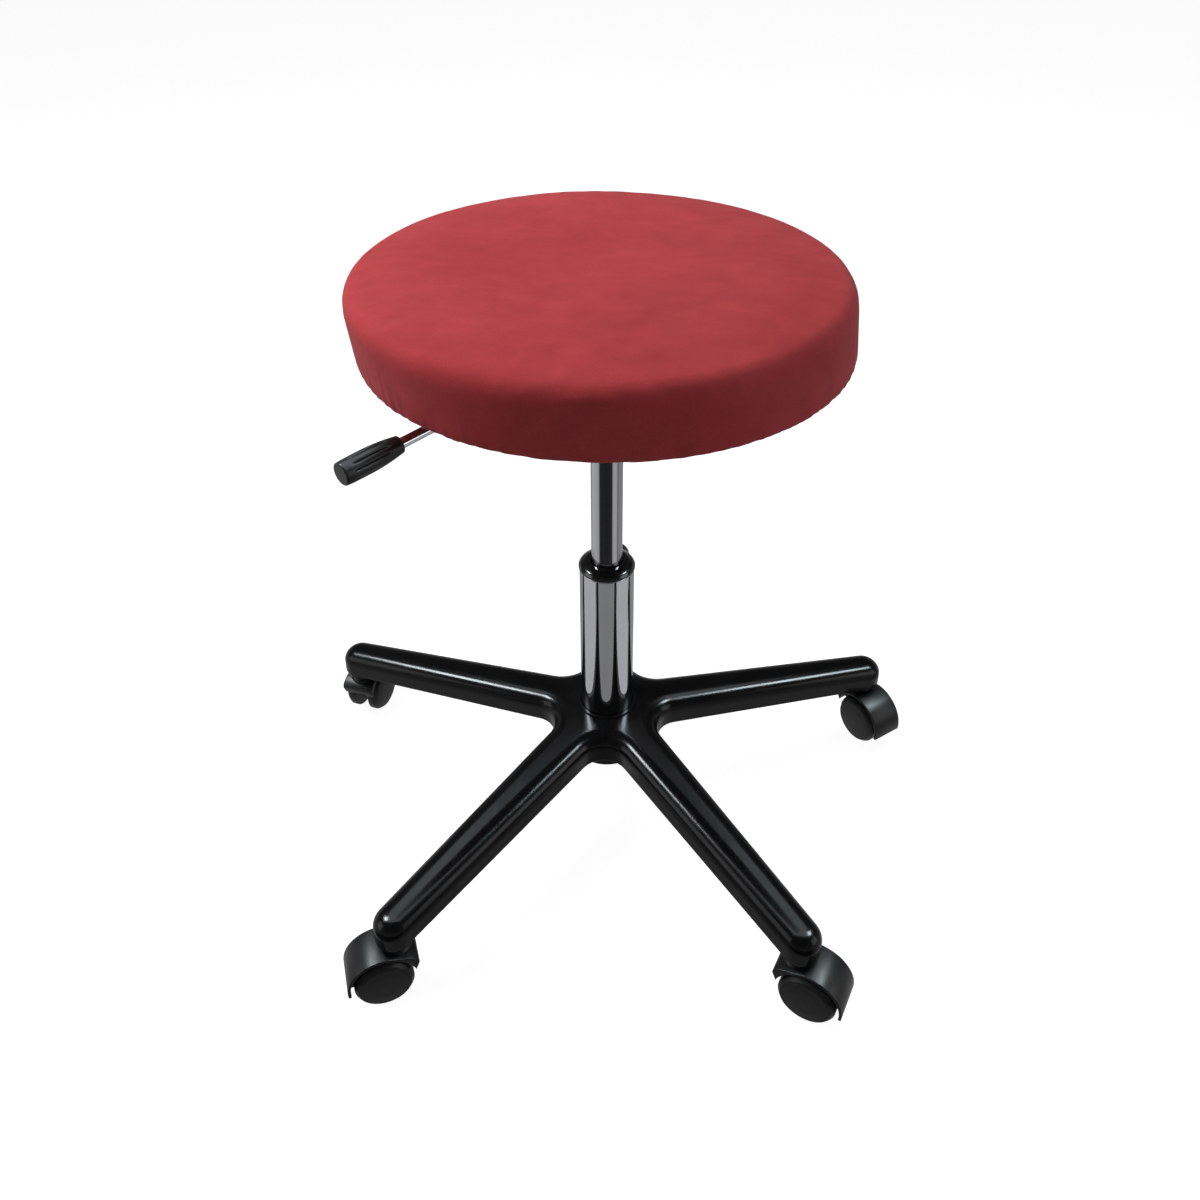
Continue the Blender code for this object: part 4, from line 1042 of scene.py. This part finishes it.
def make_stage():
    """A pale floor and a round wall that the camera sees, and the glowing card of painted reflection that the
    chrome sees.
    """
    look = Look("studio_floor", 0.9)
    look.shader.inputs["Base Color"].default_value = (STAGE_GREY, STAGE_GREY, STAGE_GREY, 1.0)
    look.shader.inputs["Specular IOR Level"].default_value = 0.0
    look.shader.inputs["Emission Color"].default_value = (1.0, 1.0, 1.0, 1.0)
    look.shader.inputs["Emission Strength"].default_value = STAGE_GLOW
    floor = helper(sheet_mesh("studio_floor", FLOOR_HALF_SIZE))
    wall = helper(drum("studio_wall", WALL_RADIUS, *WALL_ENDS))
    for surface in (floor, wall):
        surface.data.materials.append(look.material)
        surface.visible_diffuse = False
    wall.visible_glossy = wall.visible_shadow = False
    painted_floor_reflection()


def painted_floor_reflection():
    """A glowing card on the floor that only reflections see: a painted reflection of the floor, greyer or darker
    by direction, with painted shade on the camera's side.
    """
    material = bpy.data.materials.new("painted_floor_reflection")
    material.use_nodes = True
    tree = material.node_tree
    tree.nodes.clear()
    spot = tree.nodes.new("ShaderNodeTexCoord").outputs["Object"]
    around = tree.nodes.new("ShaderNodeTexGradient")
    around.gradient_type = "RADIAL"
    tree.links.new(spot, around.inputs["Vector"])
    away = tree.nodes.new("ShaderNodeVectorMath")
    away.operation = "LENGTH"
    tree.links.new(spot, away.inputs[0])
    greys = []
    for stops in (PAINTED_REFLECTION_NEAR, PAINTED_REFLECTION_FAR):
        ramp = tree.nodes.new("ShaderNodeValToRGB")
        tree.links.new(around.outputs["Fac"], ramp.inputs["Fac"])
        set_stops(ramp, [(0.5 + degrees_round / 360, grey) for degrees_round, grey in stops])
        greys.append(ramp.outputs["Color"])
    share = tree.nodes.new("ShaderNodeMapRange")
    share.inputs["From Min"].default_value, share.inputs["From Max"].default_value = PAINTED_REFLECTION_EDGE
    tree.links.new(away.outputs["Value"], share.inputs["Value"])
    mix = tree.nodes.new("ShaderNodeMix")
    mix.data_type = "RGBA"
    tree.links.new(share.outputs["Result"], mix.inputs[0])
    for socket, grey in zip((mix.inputs[6], mix.inputs[7]), greys):
        tree.links.new(grey, socket)
    # Painted reflection: the card glows with these greys, though it is no lamp.
    glow = tree.nodes.new("ShaderNodeEmission")
    tree.links.new(mix.outputs[2], glow.inputs["Color"])
    surface = tree.nodes.new("ShaderNodeOutputMaterial").inputs["Surface"]
    tree.links.new(glow.outputs["Emission"], surface)
    towards_camera = Matrix.Rotation(CAMERA_TURN - pi / 2, 4, "Z")
    place = AT_COLUMN @ Matrix.Translation((0, 0, CARD_HEIGHT)) @ towards_camera
    card = helper(sheet_mesh("painted_floor_reflection", CARD_HALF_SIZE), place)
    card.data.materials.append(material)
    card.visible_camera = card.visible_diffuse = card.visible_shadow = False
    return card


def sheet_mesh(name, half):
    """A flat square, centred on the origin."""
    corners = [(-half, -half, 0), (half, -half, 0), (half, half, 0), (-half, half, 0)]
    mesh = bpy.data.meshes.new(name)
    mesh.from_pydata(corners, [], [(0, 1, 2, 3)])
    return mesh


# How bright the room is, by the height that a direction points to: (0 level to 1 straight up, grey level).
ROOM_GREYS = ((0.0, 0.16), (0.05, 0.36), (0.50, 0.07))


def make_world():
    """A room that is brightest a little above the horizon and dark overhead."""
    world = bpy.data.worlds.new("studio")
    world.use_nodes = True
    tree = world.node_tree
    background = tree.nodes["Background"]
    direction = tree.nodes.new("ShaderNodeTexCoord").outputs["Generated"]
    split = tree.nodes.new("ShaderNodeSeparateXYZ")
    tree.links.new(direction, split.inputs[0])
    ramp = tree.nodes.new("ShaderNodeValToRGB")
    tree.links.new(split.outputs["Z"], ramp.inputs["Fac"])
    set_stops(ramp, ROOM_GREYS)
    tree.links.new(ramp.outputs["Color"], background.inputs["Color"])
    SCENE.world = world


# Each light: its name, place, what it points at, width and height, and watts.
LIGHTS = (
    ("overhead", (0, 0.5, 2.4), (0, 0.5, 0), (2.4, 2.0), 18),
    ("left_key", (-1.3, 0.15, 1.9), (0, 0, 0.3), (0.5, 0.5), 27),
    ("left_fill", (-2.2, -0.7, 0.9), (0, 0, 0.4), (1.2, 1.2), 10),
    ("right_fill", (2.2, -0.7, 0.9), (0, 0, 0.4), (1.2, 1.2), 11),
)
# Lights that add no diffuse light and show only as highlights.
GLINTS = (
    ("overhead_glint", (0, 0.5, 2.5), (0, 0.5, 0), (2.4, 2.0), 45),
    ("left_glint", (-1.35, 0.15, 1.95), (0, 0, 0.1), (0.5, 0.5), 36),
    ("right_glint", (1.35, 0.15, 1.95), (0, 0, 0.1), (0.5, 0.5), 50),
)
GLINT_COLOUR = (0.84, 0.96, 1.0)


def softbox(name, spot, target, size, power):
    light = bpy.data.lights.new(name, "AREA")
    light.shape = "RECTANGLE"
    light.size, light.size_y = size
    light.energy = power
    made = bpy.data.objects.new(name, light)
    made.location = spot
    made.rotation_euler = (Vector(target) - Vector(spot)).to_track_quat("-Z", "Y").to_euler()
    made.visible_camera = False
    SCENE.collection.objects.link(made)
    return made


def make_lights():
    for settings in LIGHTS:
        softbox(*settings)
    for settings in GLINTS:
        glint = softbox(*settings)
        glint.visible_diffuse = False
        glint.data.color = GLINT_COLOUR


# The camera's place is measured from the column's foot.
CAMERA_TURN = radians(2.2)
CAMERA_PITCH = radians(29.94)
CAMERA_DISTANCE = 0.7728
CAMERA_HEIGHT = 0.8569
CAMERA_SENSOR = 36.0
CAMERA_LENS = 32.02
CAMERA_SHIFT = (-0.0057, -0.1417)


def make_camera():
    data = bpy.data.cameras.new("camera")
    data.sensor_width = CAMERA_SENSOR
    data.lens = CAMERA_LENS
    data.shift_x, data.shift_y = CAMERA_SHIFT
    camera = bpy.data.objects.new("camera", data)
    away = CAMERA_DISTANCE * Vector((sin(CAMERA_TURN), -cos(CAMERA_TURN)))
    camera.location = COLUMN + Vector((*away, CAMERA_HEIGHT))
    camera.rotation_euler = (pi / 2 - CAMERA_PITCH, 0, CAMERA_TURN)
    SCENE.collection.objects.link(camera)
    SCENE.camera = camera


make_camera()
make_stage()
make_world()
make_lights()
SCENE.view_settings.view_transform = "Standard"

make_cushion()
make_staples()
make_tube()
make_cap()
make_cylinder()
make_lever()
make_base()
make_casters()
